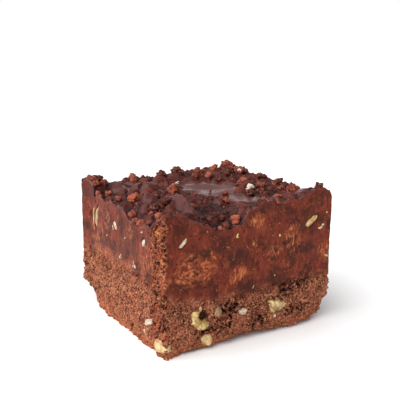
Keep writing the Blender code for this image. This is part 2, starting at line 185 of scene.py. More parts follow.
def topHeight(x, y):
    rough = (1 - 0.85 * poolShare(x, y)) * eased(fromEdge(x, y) / 3)
    return broadTop(x, y, glazeTop["lumps"]) + rough * relief(glazeTop["ripples"], onPlane(x, y))


def underGlaze(x, y):
    thick = glazeTop["rimThick"] + (glazeTop["thick"] - glazeTop["rimThick"]) * eased(fromEdge(x, y) / 6)
    return broadTop(x, y, glazeTop["dips"]) - thick


def seamHeight(x, y):
    return around(x, y, seams, seams["inside"])


foot = {
    # the front arches clear of the ground, as (x, height), and comes down to it further in
    "arch": ((-28, 0), (-24.5, 0.5), (-22, 1.2), (-18, 0.9), (-15, 0.6), (-12, 1.3), (-8, 1.9), (-4, 2.2),
             (1, 2.3), (6, 1.5), (12, 1.1), (16, 1.0), (19, 1.6), (25, 1.0), (28, 1.8)),
    "reach": 13.0,
    "height": 3.0,
    "wear": 0.5,
    "bumps": ((6.0, 0.6, 4.4), (2.0, 0.5, 2.2)),
    # worn lower corners: side in x and y, top of the wear, how far, how much more at the foot
    "wornCorners": ((-1, 1, 6.8, 2.7, 1.2), (1, -1, 7.6, 1.5, 1.0)),
    "wornSpread": 6.7,
}


def footHeight(x, y):
    return along(foot["arch"], x) * (1 - eased((y + halfY) / foot["reach"]))


def wornCorner(points):
    x, y, z = points.T
    total = np.zeros(len(points))
    for sideX, sideY, top, much, more in foot["wornCorners"]:
        near = np.exp(-((np.hypot(x - sideX * halfX, y - sideY * halfY) / foot["wornSpread"]) ** 2))
        total += near * (much * eased((top + 2.0 - z) / 5.5) + more * eased((2.5 - z) / 2))
    return total


# nut pieces, the same as the solids': face, place along it, height, length, breadth, how deep, turn in degrees, seed
nuts = {
    "walnut_front": ("front", 9.3, 8.7, 7.4, 5.6, 5.0, -12, 3),
    "nut_front_foot": ("front", -15.7, 2.9, 4.2, 3.5, 3.6, 70, 5),
    "nut_front_pale": ("front", -3.3, 9.2, 3.3, 2.2, 2.4, -10, 7),
    "nut_front_faint": ("front", -12.0, 10.6, 2.8, 3.4, 2.4, 0, 8),
    "nut_corner": ("left", -26.3, 3.4, 6.4, 4.8, 4.6, 8, 9),
    "nut_left_white": ("left", -19.6, 7.9, 4.9, 2.4, 2.8, 20, 12),
    "almond_front": ("front", 21.9, 33.7, 5.9, 2.3, 2.6, 34, 14),
    "sliver_front": ("front", -23.9, 32.6, 3.9, 1.3, 2.0, 48, 15),
    "sliver_left_long": ("left", 17.4, 31.4, 8.2, 1.3, 2.0, 76, 17),
    "sliver_left_high": ("left", 2.6, 31.7, 3.2, 1.3, 2.0, -55, 18),
    "sliver_left_mid": ("left", -17.0, 30.7, 2.6, 1.5, 2.0, 72, 19),
    "walnut_back": ("back", 12.0, 8.4, 7.0, 5.4, 5.0, 25, 23),
    "nut_back": ("back", -11.5, 6.2, 4.4, 3.6, 3.6, -30, 24),
    "almond_back": ("back", -4.0, 29.5, 6.0, 2.4, 2.6, 18, 26),
    "walnut_right": ("right", -6.5, 9.0, 6.6, 5.2, 4.6, -24, 27),
    "nut_right_pale": ("right", 13.0, 5.0, 3.8, 2.8, 3.0, 40, 28),
    "sliver_right": ("right", 6.0, 30.6, 5.0, 1.5, 2.0, 62, 29),
}
nutShape = {"rough": 0.3, "sunk": 0.32, "socketDepth": 0.5, "socketRim": 0.2}
curl = {"x": -17.6, "z": 10.3, "sunk": 0.9, "radius": 2.45, "rod": 1.25, "socket": (2.3, 2.1), "socketDepth": 1.5}

# patches of the cut faces, as (place along the face, height, half length, half height, turn in degrees)
marks = {
    "frontStreaks": (
        (-20.0, 24.6, 8.6, 4.6, 14), (1.0, 35.4, 2.8, 3.2, 30), (14.6, 29.4, 2.7, 4.4, -12), (0.4, 29.3, 2.6, 1.0, 8),
        (27.4, 22.5, 2.2, 4.6, 0), (7.5, 25.5, 3.2, 2.6, 30), (-6.5, 20.5, 4.0, 2.0, 20),
    ),
    "frontSmudges": (
        (-4.6, 26.6, 4.6, 2.2, 12), (11.5, 19.6, 7.0, 2.0, 22), (-14.0, 29.4, 6.0, 1.5, 8), (4.5, 39.2, 7.0, 1.6, 10),
        (21.0, 36.0, 4.0, 3.0, 10), (-2.0, 16.8, 8.0, 1.3, 5), (20.5, 25.5, 3.0, 2.2, 20),
    ),
    "leftStreaks": (
        (-18.5, 26.0, 4.0, 4.0, 10), (17.0, 27.0, 5.0, 5.0, 0), (9.5, 33.0, 3.0, 2.6, 0), (-8.0, 32.0, 3.0, 2.0, 0),
        (-26.8, 35.6, 1.9, 1.5, 0), (-28.6, 30.0, 0.6, 2.0, 0),
    ),
    "leftSmudges": (
        (0.0, 24.6, 12.0, 2.6, 2), (-9.0, 27.0, 4.5, 3.0, 0), (24.5, 38.5, 4.5, 3.5, 0), (8.0, 29.0, 4.0, 1.5, 0),
    ),
    "whirl": (-19.0, 24.4, 8.2, 5.0),
    # painted shade under the overhang of the raised corner at the back left
    "paintedShadeUnderLip": ((19.3, 40.3, 2.1, 2.4, 0),),  # the dark side of the raised corner at the back left
    # single holes and notches, as (face, place along it, height, half width, half height)
    "gouges": (("left", 22.7, 31.5, 1.0, 1.8), ("left", 23.6, 18.8, 1.0, 1.5), ("left", -9.8, 35.2, 0.8, 0.8),
               ("front", 0.8, 2.9, 0.7, 1.6), ("front", -16.2, 5.9, 1.8, 0.7)),
    "gougeDepth": 1.7,
    # where the base's front is most open
    "openCrumb": (
        (-7.0, 12.0, 7.5, 3.0, 4), (-10.5, 6.4, 5.0, 3.4, 0), (15.5, 13.8, 8.0, 2.8, 6), (-17.5, 5.6, 3.4, 1.4, 0),
        (3.5, 5.0, 3.0, 2.0, 0), (18.0, 6.0, 5.0, 2.0, 5),
    ),
}


def faceMask(face, normals):
    side = {"front": (0, -1), "right": (1, 0), "back": (0, 1), "left": (-1, 0)}[face]
    return np.clip(normals[:, 0] * side[0] + normals[:, 1] * side[1], 0, 1) > square["facing"]


def nutSockets(points, normals):
    # how deep the face is drawn in round each nut, from 0 to 1 of the socket's depth
    deep = np.zeros(len(points))
    rim = nutShape["socketRim"]
    for face, place, height, length, breadth, _, degrees, _ in nuts.values():
        run = points[:, 0] if face in ("front", "back") else points[:, 1]
        towards = 1 if face in ("front", "right") else -1
        across, up = tilted(towards * (run - place), points[:, 2] - height, degrees)
        near = 1 - eased((np.hypot(across / (length / 2 + rim), up / (breadth / 2 + rim)) - 0.7) / 0.5)
        deep = np.maximum(deep, near * faceMask(face, normals))
    return deep


def curlSocket(points, normals):
    away = np.hypot((points[:, 0] - curl["x"]) / curl["socket"][0], (points[:, 2] - curl["z"]) / curl["socket"][1])
    return (1 - eased((away - 0.75) / 0.35)) * faceMask("front", normals)


# the crumbly strip of the left face beside the near upright edge
strip = {"width": 8.4, "bumps": ((2.2, 0.6, 3.7),), "sink": 0.1, "crags": ((1.9, 0.8, 6.6), (0.8, 0.4, 2.9))}


def stripShare(points):
    ragged = 1.6 * wobble(points, 4.0, 5.2) + 0.8 * wobble(points, 1.5, 1.2)
    inside = eased((strip["width"] - (points[:, 1] + halfY) - ragged) / 2.4)
    return inside * eased((-halfX + 1.4 + 0.9 * wobble(points, 1.6, 8.8) - points[:, 0]) / 0.7)


# shells: loops of points, one above another, closed at both ends

def squareLoop():
    across, deep = round(2 * halfX / square["step"]), round(2 * halfY / square["step"])
    x = np.linspace(-halfX, halfX, across + 1)
    y = np.linspace(-halfY, halfY, deep + 1)
    one, other = np.ones(across), np.ones(deep)
    return np.concatenate([
        np.stack([x[:-1], -halfY * one], 1), np.stack([halfX * other, y[:-1]], 1),
        np.stack([x[:0:-1], halfY * one], 1), np.stack([-halfX * other, y[:0:-1]], 1),
    ])


def roundCorners(xy):
    # rounds the square's upright edges and gives each point's outward direction
    r = square["cornerRound"]
    inner = np.stack([np.clip(xy[:, 0], r - halfX, halfX - r), np.clip(xy[:, 1], r - halfY, halfY - r)], 1)
    offset = xy - inner
    reach = np.maximum(np.hypot(*offset.T), 1e-9)
    rounded = inner + offset * (np.abs(offset).max(1) / reach)[:, None]
    return rounded, offset / reach[:, None]


def inset(loop, depth):
    return loop * np.array([(halfX - depth) / halfX, (halfY - depth) / halfY])


def meshObject(name, points, faces, values=None):
    data = bpy.data.meshes.new(name)
    data.from_pydata((points * mm).tolist(), [], faces)
    for key, numbers in (values or {}).items():
        kind, field = ("FLOAT", "value") if numbers.ndim == 1 else ("FLOAT_VECTOR", "vector")
        data.attributes.new(key, kind, "POINT").data.foreach_set(field, numbers.astype(np.float32).ravel())
    data.shade_smooth()
    data.update()
    return inScene(name, data)


def inScene(name, data):
    thing = bpy.data.objects.new(name, data)
    bpy.context.scene.collection.objects.link(thing)
    return thing


def loopFaces(loops, count):
    start = np.arange(loops - 1)[:, None] * count
    here = np.arange(count)[None, :]
    after = (here + 1) % count
    quads = np.stack([start + here, start + after, start + count + after, start + count + here], -1)
    return quads.reshape(-1, 4).tolist()


def closedShell(name, under, sides, over, count, looks, fills):
    # a mesh of the cut faces with the loops under and over them, where each look has its fill, or else 0
    points = np.concatenate([*under, sides, *over])
    faces = loopFaces(len(points) // count, count)
    faces.append(list(range(count))[::-1])
    faces.append(list(range(len(points) - count, len(points))))
    ends = (count * len(under), count * len(over))
    values = {}
    for key, numbers in looks.items():
        pad = (ends,) + ((0, 0),) * (numbers.ndim - 1)
        values[key] = np.pad(numbers, pad, constant_values=fills.get(key, 0.0))
    return meshObject(name, points, faces, values)


def finish(thing, material, slotName, *nodes):
    thing.data.materials.clear()
    thing.data.materials.append(material)
    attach(thing, "root")
    if nodes:
        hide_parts(*nodes)
    return thing


# node trees

def srgb(*levels):
    channel = [c / 255 / 12.92 if c <= 10.3 else ((c / 255 + 0.055) / 1.055) ** 2.4 for c in levels]
    return (*channel, 1.0)


# the pore tone is painted shade, laid into holes and pits
tones = {
    "crumbDark": srgb(92, 42, 29), "crumbMid": srgb(156, 86, 62), "crumbLight": srgb(212, 148, 112),
    "crust": srgb(190, 114, 78), "pore": srgb(22, 7, 5), "stripWarm": srgb(166, 76, 48),
    "stripDark": srgb(70, 23, 16), "fudge": srgb(113, 45, 30), "fudgeDark": srgb(71, 29, 20),
    "fudgeWarm": srgb(148, 70, 43), "fudgeOrange": srgb(206, 124, 74), "fudgeSmudge": srgb(60, 31, 21),
    # the dark glaze tone is a darker tone of the lumps and also painted shade in hollows
    "rim": srgb(112, 48, 35), "glaze": srgb(82, 32, 26), "glazeDarkAndShade": srgb(32, 12, 10),
    # the dark baked tone is a darker tone of some crumbs and also painted shade in hollows
    "glazeCrumb": srgb(112, 50, 39), "bakedDarkAndShade": srgb(54, 21, 17), "baked": srgb(124, 56, 42),
    "bakedRed": srgb(196, 106, 76), "nutCream": srgb(224, 196, 134), "nutYellow": srgb(184, 148, 78),
    "nutSkin": srgb(122, 78, 42), "nutWhite": srgb(206, 192, 174),
}


class Graph:
    # adds to one node tree; add gives back the node, and the others a socket with their result
    def __init__(self, tree):
        self.tree = tree

    def feed(self, socket, value):
        if isinstance(value, bpy.types.NodeSocket):
            self.tree.links.new(value, socket)
        else:
            socket.default_value = value

    def add(self, kind, values=None, **settings):
        node = self.tree.nodes.new(kind)
        for key, value in settings.items():
            setattr(node, key, value)
        for key, value in (values or {}).items():
            self.feed(node.inputs[key], value)
        return node

    def calc(self, operation, a, b):
        return self.add("ShaderNodeMath", {0: a, 1: b}, operation=operation).outputs[0]

    def times(self, a, b):
        return self.calc("MULTIPLY", a, b)

    def vector(self, operation, a, b):
        return self.add("ShaderNodeVectorMath", {0: a, 1: b}, operation=operation).outputs[0]

    def scaled(self, a, factor):
        return self.add("ShaderNodeVectorMath", {0: a, "Scale": factor}, operation="SCALE").outputs[0]

    def combined(self, **parts):
        return self.add("ShaderNodeCombineXYZ", parts).outputs[0]

    def parts(self, a):
        return self.add("ShaderNodeSeparateXYZ", {0: a}).outputs

    def noise(self, place, scale, detail, output="Fac", **more):
        values = {"Vector": place, "Scale": scale, "Detail": detail, **more}
        return self.add("ShaderNodeTexNoise", values).outputs[output]

    def ranged(self, value, low, high, toLow=0.0, toHigh=1.0):
        values = {"Value": value, "From Min": low, "From Max": high, "To Min": toLow, "To Max": toHigh}
        return self.add("ShaderNodeMapRange", values, interpolation_type="SMOOTHSTEP").outputs[0]

    def blend(self, share, one, other):
        return self.add("ShaderNodeMix", {0: share, 6: one, 7: other}, data_type="RGBA").outputs[2]

    def layer(self, colour, tone, value, *limits):
        # the tone lies over the colour where the value is within the limits
        return self.blend(self.ranged(value, *limits), colour, tones[tone])

    def attribute(self, name, output="Fac"):
        return self.add("ShaderNodeAttribute", attribute_name=name).outputs[output]

    def named(self, name):
        return self.add("GeometryNodeInputNamedAttribute", {"Name": name}, data_type="FLOAT").outputs[0]


def newTree(name, kind, inputs, outputs):
    # a group with its sockets: what it is given, what it puts out, and its inputs' identifiers
    tree = bpy.data.node_groups.new(name, kind)
    ids = {}
    for key, socketKind, value in inputs:
        socket = tree.interface.new_socket(key, in_out="INPUT", socket_type="NodeSocket" + socketKind)
        if value is not None:
            socket.default_value = value
        ids[key] = socket.identifier
    for key, socketKind in outputs:
        tree.interface.new_socket(key, in_out="OUTPUT", socket_type="NodeSocket" + socketKind)
    return Graph(tree), tree.nodes.new("NodeGroupInput").outputs, tree.nodes.new("NodeGroupOutput").inputs, ids


def shaderGroup(name, inputs, outputs):
    return newTree(name, "ShaderNodeTree", inputs, [(key, "Float") for key in outputs])[:3]


def putOut(graph, result, **sockets):
    for key, socket in sockets.items():
        graph.feed(result[key], socket)
    return graph.tree


perMetre = (1000, 1000, 1000)


def marblingGroup():
    # long drawn-out streaks, as stirred fudge shows when it is cut
    graph, given, result = shaderGroup("marbling", (
        ("Vector", "Vector", None), ("Flow", "Vector", None), ("Size", "Float", 0.6),
    ), ("Streak", "Cloud", "Blotch", "Fleck"))
    points = graph.vector("MULTIPLY", given["Vector"], perMetre)
    # the flow runs fast across a stroke and slowly along it
    scale = graph.calc("DIVIDE", 1.0, given["Size"])
    streak = graph.noise(given["Flow"], scale, 4.0, Roughness=0.62, Distortion=0.35)
    cloud = graph.noise(points, 0.17, 4.0, Roughness=0.62)
    blotch = graph.noise(points, 0.38, 5.0, Roughness=0.66, Distortion=0.8)
    fleck = graph.ranged(graph.noise(points, 1.5, 1.0), 0.71, 0.77)
    return putOut(graph, result, Streak=streak, Cloud=cloud, Blotch=blotch, Fleck=fleck)


def grainGroup():
    # crumb: cells of different lightness, with fine grit between them
    graph, given, result = shaderGroup("crumbGrain", (
        ("Vector", "Vector", None), ("Size", "Float", 0.8), ("Seed", "Float", 0.0),
    ), ("Tone", "Grit", "Pit", "Height"))
    points = graph.vector("MULTIPLY", given["Vector"], perMetre)
    moved = graph.vector("ADD", points, graph.combined(X=given["Seed"], Y=given["Seed"], Z=0.0))
    scale = graph.calc("DIVIDE", 1.0, given["Size"])
    jitter = graph.noise(moved, scale, 2.0, "Color")
    bent = graph.vector("ADD", moved, graph.vector("MULTIPLY", jitter, (0.7, 0.7, 0.7)))
    cells = graph.add("ShaderNodeTexVoronoi", {"Vector": bent, "Scale": scale}).outputs
    tone = graph.add("ShaderNodeSeparateColor", {"Color": cells["Color"]}).outputs[0]
    grit = graph.noise(moved, graph.times(scale, 3.1), 4.0, Roughness=0.7)
    pit = graph.ranged(graph.noise(bent, graph.times(scale, 1.15), 1.0, Roughness=0.5), 0.4, 0.32)
    dome = graph.calc("SUBTRACT", 1.0, cells["Distance"])
    height = graph.calc("ADD", graph.times(dome, 0.6), graph.times(grit, 0.5))
    height = graph.calc("SUBTRACT", height, graph.times(pit, 1.2))
    return putOut(graph, result, Tone=tone, Grit=grit, Pit=pit, Height=height)


marbling = marblingGroup()
crumbGrain = grainGroup()


def useGroup(graph, group, place, **values):
    return graph.add("ShaderNodeGroup", {"Vector": place, **values}, node_tree=group).outputs


def newMaterial(name):
    material = bpy.data.materials.new(name)
    material.use_nodes = True
    graph = Graph(material.node_tree)
    place = graph.add("ShaderNodeTexCoord").outputs["Object"]
    return material, graph, material.node_tree.nodes["Principled BSDF"], place


def dress(graph, shader, colour, rough, shine, height, distance, strength):
    bumped = graph.add("ShaderNodeBump", {"Height": height, "Distance": distance * mm, "Strength": strength})
    for key, value in (("Base Color", colour), ("Roughness", rough), ("Specular IOR Level", shine),
                       ("Normal", bumped.outputs[0])):
        graph.feed(shader.inputs[key], value)


def crumbColour(graph, place):
    # baked crumb, light and dark grains; its pits are painted black as shade in cutColour
    grain = useGroup(graph, crumbGrain, place, Size=0.37)
    colour = graph.layer(tones["crumbDark"], "crumbMid", graph.noise(place, 300.0, 3.0), 0.3, 0.62)
    colour = graph.layer(colour, "crumbLight", grain["Tone"], 0.4, 1.0, 0.0, 0.9)
    return graph.layer(colour, "crumbDark", grain["Grit"], 0.5, 0.36, 0.0, 0.75), grain


def fudgeColour(graph, place):
    # reddish brown with fine upright streaks, orange ones where they gather, and dark smudges
    look = useGroup(graph, marbling, place, Flow=graph.attribute("flow", "Vector"), Size=0.75)
    colour = tones["fudgeDark"]
    for tone, key, *limits in (
        ("fudge", "Cloud", 0.38, 0.6), ("fudgeWarm", "Blotch", 0.5, 0.7, 0.0, 0.7),
        ("fudgeWarm", "Streak", 0.53, 0.68, 0.0, 0.55), ("fudgeDark", "Streak", 0.47, 0.34, 0.0, 0.7),
    ):
        colour = graph.layer(colour, tone, look[key], *limits)
    gathered = graph.attribute("streaky")
    patch = graph.times(graph.ranged(look["Blotch"], 0.42, 0.62), gathered)
    colour = graph.blend(graph.times(patch, 0.6), colour, tones["fudgeWarm"])
    strokes = graph.times(graph.ranged(look["Streak"], 0.46, 0.66, 0.0, 0.85), gathered)
    strokes = graph.times(strokes, graph.ranged(look["Blotch"], 0.36, 0.56, 0.1, 1.0))
    colour = graph.blend(strokes, colour, tones["fudgeOrange"])
    dark = graph.times(graph.ranged(look["Blotch"], 0.66, 0.44), graph.attribute("smudged"))
    colour = graph.blend(graph.times(dark, 0.68), colour, tones["fudgeSmudge"])
    return graph.blend(graph.times(look["Fleck"], 0.65), colour, tones["fudgeOrange"]), look


def cutColour(graph, place):
    # the cut faces from crumb to fudge with no line between, the crumbly strip, and painted shade in the holes and
    # pits
    crumb, grain = crumbColour(graph, place)
    marbled, look = fudgeColour(graph, place)
    ragged = graph.times(graph.calc("SUBTRACT", look["Cloud"], 0.5), 9.0)
    level = graph.calc("ADD", graph.attribute("toSeam"), ragged)
    crumbly = graph.attribute("crumbly")
    fudgeShare = graph.times(graph.ranged(level, 3.2, -1.6), graph.calc("SUBTRACT", 1.0, crumbly))
    colour = graph.blend(fudgeShare, crumb, marbled)
    for tone, limits in (("stripWarm", (0.46, 0.66, 0.0, 0.8)), ("stripDark", (0.52, 0.41, 0.0, 0.9))):
        share = graph.times(graph.ranged(look["Blotch"], *limits), crumbly)
        colour = graph.blend(share, colour, tones[tone])
    lit = graph.times(graph.times(graph.attribute("streaky"), crumbly), 0.75)
    colour = graph.blend(lit, colour, tones["fudgeOrange"])
    # painted shade: pits and the marked holes are darkened to the pore tone
    pits = graph.times(grain["Pit"], graph.calc("SUBTRACT", 1.0, fudgeShare))
    holes = graph.calc("MAXIMUM", graph.attribute("hollow"), graph.times(pits, 0.85))
    return graph.blend(holes, colour, tones["pore"]), graph.ranged(fudgeShare, 0.0, 1.0, 0.92, 0.5), grain


def bakedCrumbMaterial():
    material, graph, shader, place = newMaterial("bakedCrumb")
    colour, rough, grain = cutColour(graph, place)
    low = graph.ranged(graph.parts(place)["Z"], 0.0046, 0.0008)
    toasted = graph.times(low, graph.ranged(grain["Tone"], 0.1, 0.9, 0.2, 0.95))
    colour = graph.blend(toasted, colour, tones["crust"])
    dress(graph, shader, colour, rough, 0.12, grain["Height"], 0.18, 1.0)
    return material


def fudgeMaterial():
    material, graph, shader, place = newMaterial("fudge")
    colour, rough, grain = cutColour(graph, place)
    rimShare = graph.times(graph.attribute("rimShare"), graph.ranged(grain["Grit"], 0.35, 0.65, 0.1, 0.6))
    colour = graph.blend(rimShare, colour, tones["rim"])
    colour = graph.blend(graph.times(graph.attribute("lip"), 0.75), colour, tones["glaze"])
    dress(graph, shader, colour, rough, 0.11, grain["Height"], 0.1, 0.8)
    return material


def glazeMaterial():
    material, graph, shader, place = newMaterial("chocolateGlaze")
    grain = useGroup(graph, crumbGrain, place, Size=0.6, Seed=4.0)
    broad = graph.noise(place, 330.0, 4.0)
    coarse, reddish = graph.attribute("rough"), graph.attribute("reddish")
    colour = tones["glaze"]
    for tone, share, value, limits in (
        ("glazeDarkAndShade", coarse, broad, (0.4, 0.62, 0.15, 0.75)), ("glazeCrumb", reddish, broad, (0.4, 0.58, 0.1, 0.9)),
        ("glazeCrumb", coarse, grain["Tone"], (0.7, 1.0, 0.0, 0.5)),
    ):
        colour = graph.blend(graph.times(graph.ranged(value, *limits), share), colour, tones[tone])
    marbled, _ = fudgeColour(graph, place)
    side = graph.layer(marbled, "rim", broad, 0.4, 0.6, 0.1, 0.6)
    colour = graph.blend(graph.attribute("cutSide"), colour, side)
    # painted shade in the hollows of the top
    colour = graph.blend(graph.attribute("hollow"), colour, tones["glazeDarkAndShade"])
    rough = graph.calc("ADD", graph.times(coarse, 0.26), 0.26)
    # the pool shines more than the lumps
    shine = graph.ranged(coarse, 0.0, 0.8, 0.5, 0.15)
    height = graph.times(grain["Height"], graph.calc("ADD", reddish, graph.times(coarse, 0.12)))
    dress(graph, shader, colour, rough, shine, height, 0.1, 0.8)
    return material


def bakedTopMaterial():
    material, graph, shader, place = newMaterial("bakedTopping")
    grain = useGroup(graph, crumbGrain, place, Size=0.45, Seed=9.0)
    tint = graph.attribute("tint")
    colour = tones["bakedDarkAndShade"]
    for tone, value, *limits in (
        ("baked", tint, 0.1, 0.75), ("bakedRed", tint, 0.75, 1.0, 0.0, 0.55),
        ("bakedRed", grain["Tone"], 0.5, 1.0, 0.0, 0.6), ("bakedDarkAndShade", grain["Grit"], 0.52, 0.36, 0.0, 0.8),
        # painted shade: crumbs that carry the glaze's hollow are darkened
        ("bakedDarkAndShade", graph.attribute("hollow"), 0.0, 0.7, 0.0, 0.8),
    ):
        colour = graph.layer(colour, tone, value, *limits)
    dress(graph, shader, colour, 0.5, 0.2, grain["Height"], 0.18, 0.9)
    return material


def nutMaterial():
    material, graph, shader, place = newMaterial("nutFlesh")
    grain = useGroup(graph, crumbGrain, place, Size=0.5, Seed=2.0)
    colour = graph.layer(tones["nutYellow"], "nutCream", graph.noise(place, 420.0, 3.0), 0.36, 0.62)
    colour = graph.blend(graph.attribute("white"), colour, tones["nutWhite"])
    skin = graph.times(graph.ranged(grain["Grit"], 0.56, 0.38), graph.attribute("brown"))
    colour = graph.blend(skin, colour, tones["nutSkin"])
    colour = graph.blend(graph.attribute("hollow"), colour, tones["nutSkin"])
    dress(graph, shader, colour, 0.32, 0.55, grain["Height"], 0.06, 0.7)
    return material


bakedCrumb = bakedCrumbMaterial()
fudgeLook = fudgeMaterial()
glazeLook = glazeMaterial()
bakedTopping = bakedTopMaterial()
nutFlesh = nutMaterial()
print("materials are ready")


# crumb base and fudge

base = {
    "rows": 68,
    "bumps": ((7.0, 0.35, 1.3), (2.6, 0.45, 5.9), (1.4, 0.3, 9.1)),
    "fine": ((0.8, 0.13, 3.3), (0.42, 0.09, 7.1)),
    "pitSpacing": 3.4, "pitSize": 0.42, "pitDepth": 0.9,
    "mostOut": 0.5, "mostIn": -2.4,
    # ragged holes: size, seed, level where the crumb is dense, how much higher where it is open, depth
    "holes": ((1.15, 3.1, -0.36, 0.27, 0.8), (0.62, 8.4, -0.27, 0.24, 0.45)),
    # on the left the crumb's colour passes into the fudge's higher up and more slowly
    "leftBlend": 0.6, "leftRaise": 1.0,
    # how thick loose crumbs lie: all over, more at the foot, more above the ground
    "strew": (0.1, 1.3, 1.1),
    "bottomInsets": (0.4, 1.0, 1.8, 2.8, 4.0, 5.5, 7.2, 9.0, 11.0, 13.5, 17.0),
    "topInsets": (1.0, 2.0, 6.0),
}
fudge = {
    "rows": 80,
    "bumps": ((9.0, 0.22, 6.3), (3.0, 0.12, 8.2)),
    "fine": ((1.3, 0.07, 4.4), (0.55, 0.035, 9.4)),
    "holes": (0.9, 5.7, -0.42, 0.4),
    # the crack in the rim beside the raised corner at the back left, where the solid has it
    "splitY": 18.6, "splitFoot": 35.6, "splitWidth": 0.6, "splitDepth": 2.6, "splitTopDepth": 2.2,
    # glaze that has run down the raised corner
    "lipFoot": 36.5,
    "bottomInsets": (6.0, 2.0),
    "topInsets": (0.6, 1.4, 2.4, 4.0, 6.0, 9.0, 13.0, 18.0),
}


def fudgeRelief(points):
    share = stripShare(points)
    return relief(fudge["bumps"], points) + share * (relief(strip["bumps"], points) - strip["sink"]), share


def pushOut(points, normals, out):
    worn = wornCorner(points)
    moved = points.copy()
    moved[:, :2] += normals * out[:, None]
    moved[:, :2] -= np.sign(points[:, :2]) * worn[:, None]
    return moved


def sideGrid(low, high, rows):
    loop, normals = roundCorners(squareLoop())
    t = np.linspace(0, 1, rows + 1)
    z = low[None, :] + (high - low)[None, :] * t[:, None]
    xy = np.broadcast_to(loop, (rows + 1, *loop.shape))
    points = np.concatenate([xy, z[..., None]], 2).reshape(-1, 3)
    return points, np.broadcast_to(normals, (rows + 1, *normals.shape)).reshape(-1, 2)


def cornerEase(points):
    # how far each point by an upright edge goes in; the back left one stands out most
    x, y = points[:, 0], points[:, 1]
    near = halfX - np.abs(x) + halfY - np.abs(y)
    backLeft = (x < 0) & (y > 0)
    much = np.where(backLeft, square["backLeftEase"], square["cornerEase"])
    return much * (1 - eased(near / np.where(backLeft, 6.0, 1.6)))


def cutDetail(points, normals, toSeam, share):
    # fine relief, holes and marks of the cut faces, and where shade is painted in the holes; toSeam is above 0 in the
    # base and below it in the fudge
    x, y, z = points.T
    front, left = faceMask("front", normals), faceMask("left", normals)
    other = ~(front | left)
    ragged = 0.55 * wobble(points, 3.6, 4.9)
    crumb = np.maximum(eased((toSeam + 2.6) / 5.2), share)
    openness = patchShare(x, z, marks["openCrumb"], ragged) * front + 0.08 * left
    openness = openness + 0.5 * other * eased((wobble(points, 9.0, 3.3) + 0.1) / 0.3) + 0.5 * share
    out = crumb * relief(base["fine"], points) + (1 - crumb) * relief(fudge["fine"], points)
    # painted shade: holes, gouges, the deepest crags and the curled walnut's socket are marked to be darkened
    hollow = np.zeros(len(points))
    for size, seed, level, more, depth in base["holes"]:
        deep = crevices(points, size, seed, level + more * openness) * crumb
        out = out - depth * deep
        hollow = np.maximum(hollow, deep)
    size, seed, level, depth = fudge["holes"]
    few = crevices(points, size, seed, level) * (1 - crumb)
    crags = relief(strip["crags"], points) * share
    socket, ring = nutSockets(points, normals), curlSocket(points, normals)
    gouge = np.zeros(len(points))
    for face, place, height, wide, high in marks["gouges"]:
        run = x if face == "front" else y
        away = np.hypot((run - place) / wide, (z - height) / high) + 0.5 * ragged
        gouge = np.maximum(gouge, (1 - eased((away - 0.6) / 0.5)) * faceMask(face, normals))
    out = out - depth * few + crags - marks["gougeDepth"] * gouge
    out = out - nutShape["socketDepth"] * socket - curl["socketDepth"] * ring
    hollow = np.maximum(np.maximum(hollow, 0.8 * few), gouge) + np.clip(-crags * 1.2 - 0.22, 0, 1)
    gathers = other * eased((wobble(points, 8.0, 2.7) - 0.05) / 0.25)
    streaky = patchShare(x, z, marks["frontStreaks"], ragged) * front + gathers
    smudged = patchShare(x, z, marks["frontSmudges"], ragged) * front
    smudged = smudged + 0.7 * patchShare(y, z, marks["leftSmudges"], ragged) * left
    return out - cornerEase(points), {
        # painted shade in the socket round the curled walnut as well
        "hollow": np.clip(hollow + 0.7 * ring, 0, 1),
        "crumbly": share,
        "streaky": streaky + 0.85 * patchShare(y, z, marks["leftStreaks"], ragged) * left,
        "smudged": np.clip(smudged, 0, 1),
        "flow": strokeFlow(points, normals, front),
        "toSeam": np.where(left, base["leftBlend"] * toSeam + base["leftRaise"], toSeam),
    }


def strokeFlow(points, normals, front):
    # coordinates that run fast across the fudge's strokes and slowly along them, in mm
    x, y, z = points.T
    run = np.where(np.abs(normals[:, 1]) > square["facing"], x, y)
    bend = 2.4 * wobble(points, 6.5, 1.9) + 0.7 * wobble(points, 2.2, 7.2)
    across, level = run + bend, 0.24 * (z + 0.35 * run) + 0.5 * wobble(points, 3.0, 2.1)
    # round the large swirl the strokes follow its curve
    middleX, middleZ, long, high = marks["whirl"]
    u, w = (x - middleX) / long, (z - middleZ) / high
    radius = np.hypot(u, w)
    inside = front & (radius + 0.3 * wobble(points, 2.5, 5.1) < 1.15)
    across = np.where(inside, 5.5 * radius + 0.6 * bend, across)
    level = np.where(inside, 1.7 * np.arctan2(w, u) + 4.0, level)
    return np.stack([across, level, 0 * level], 1)


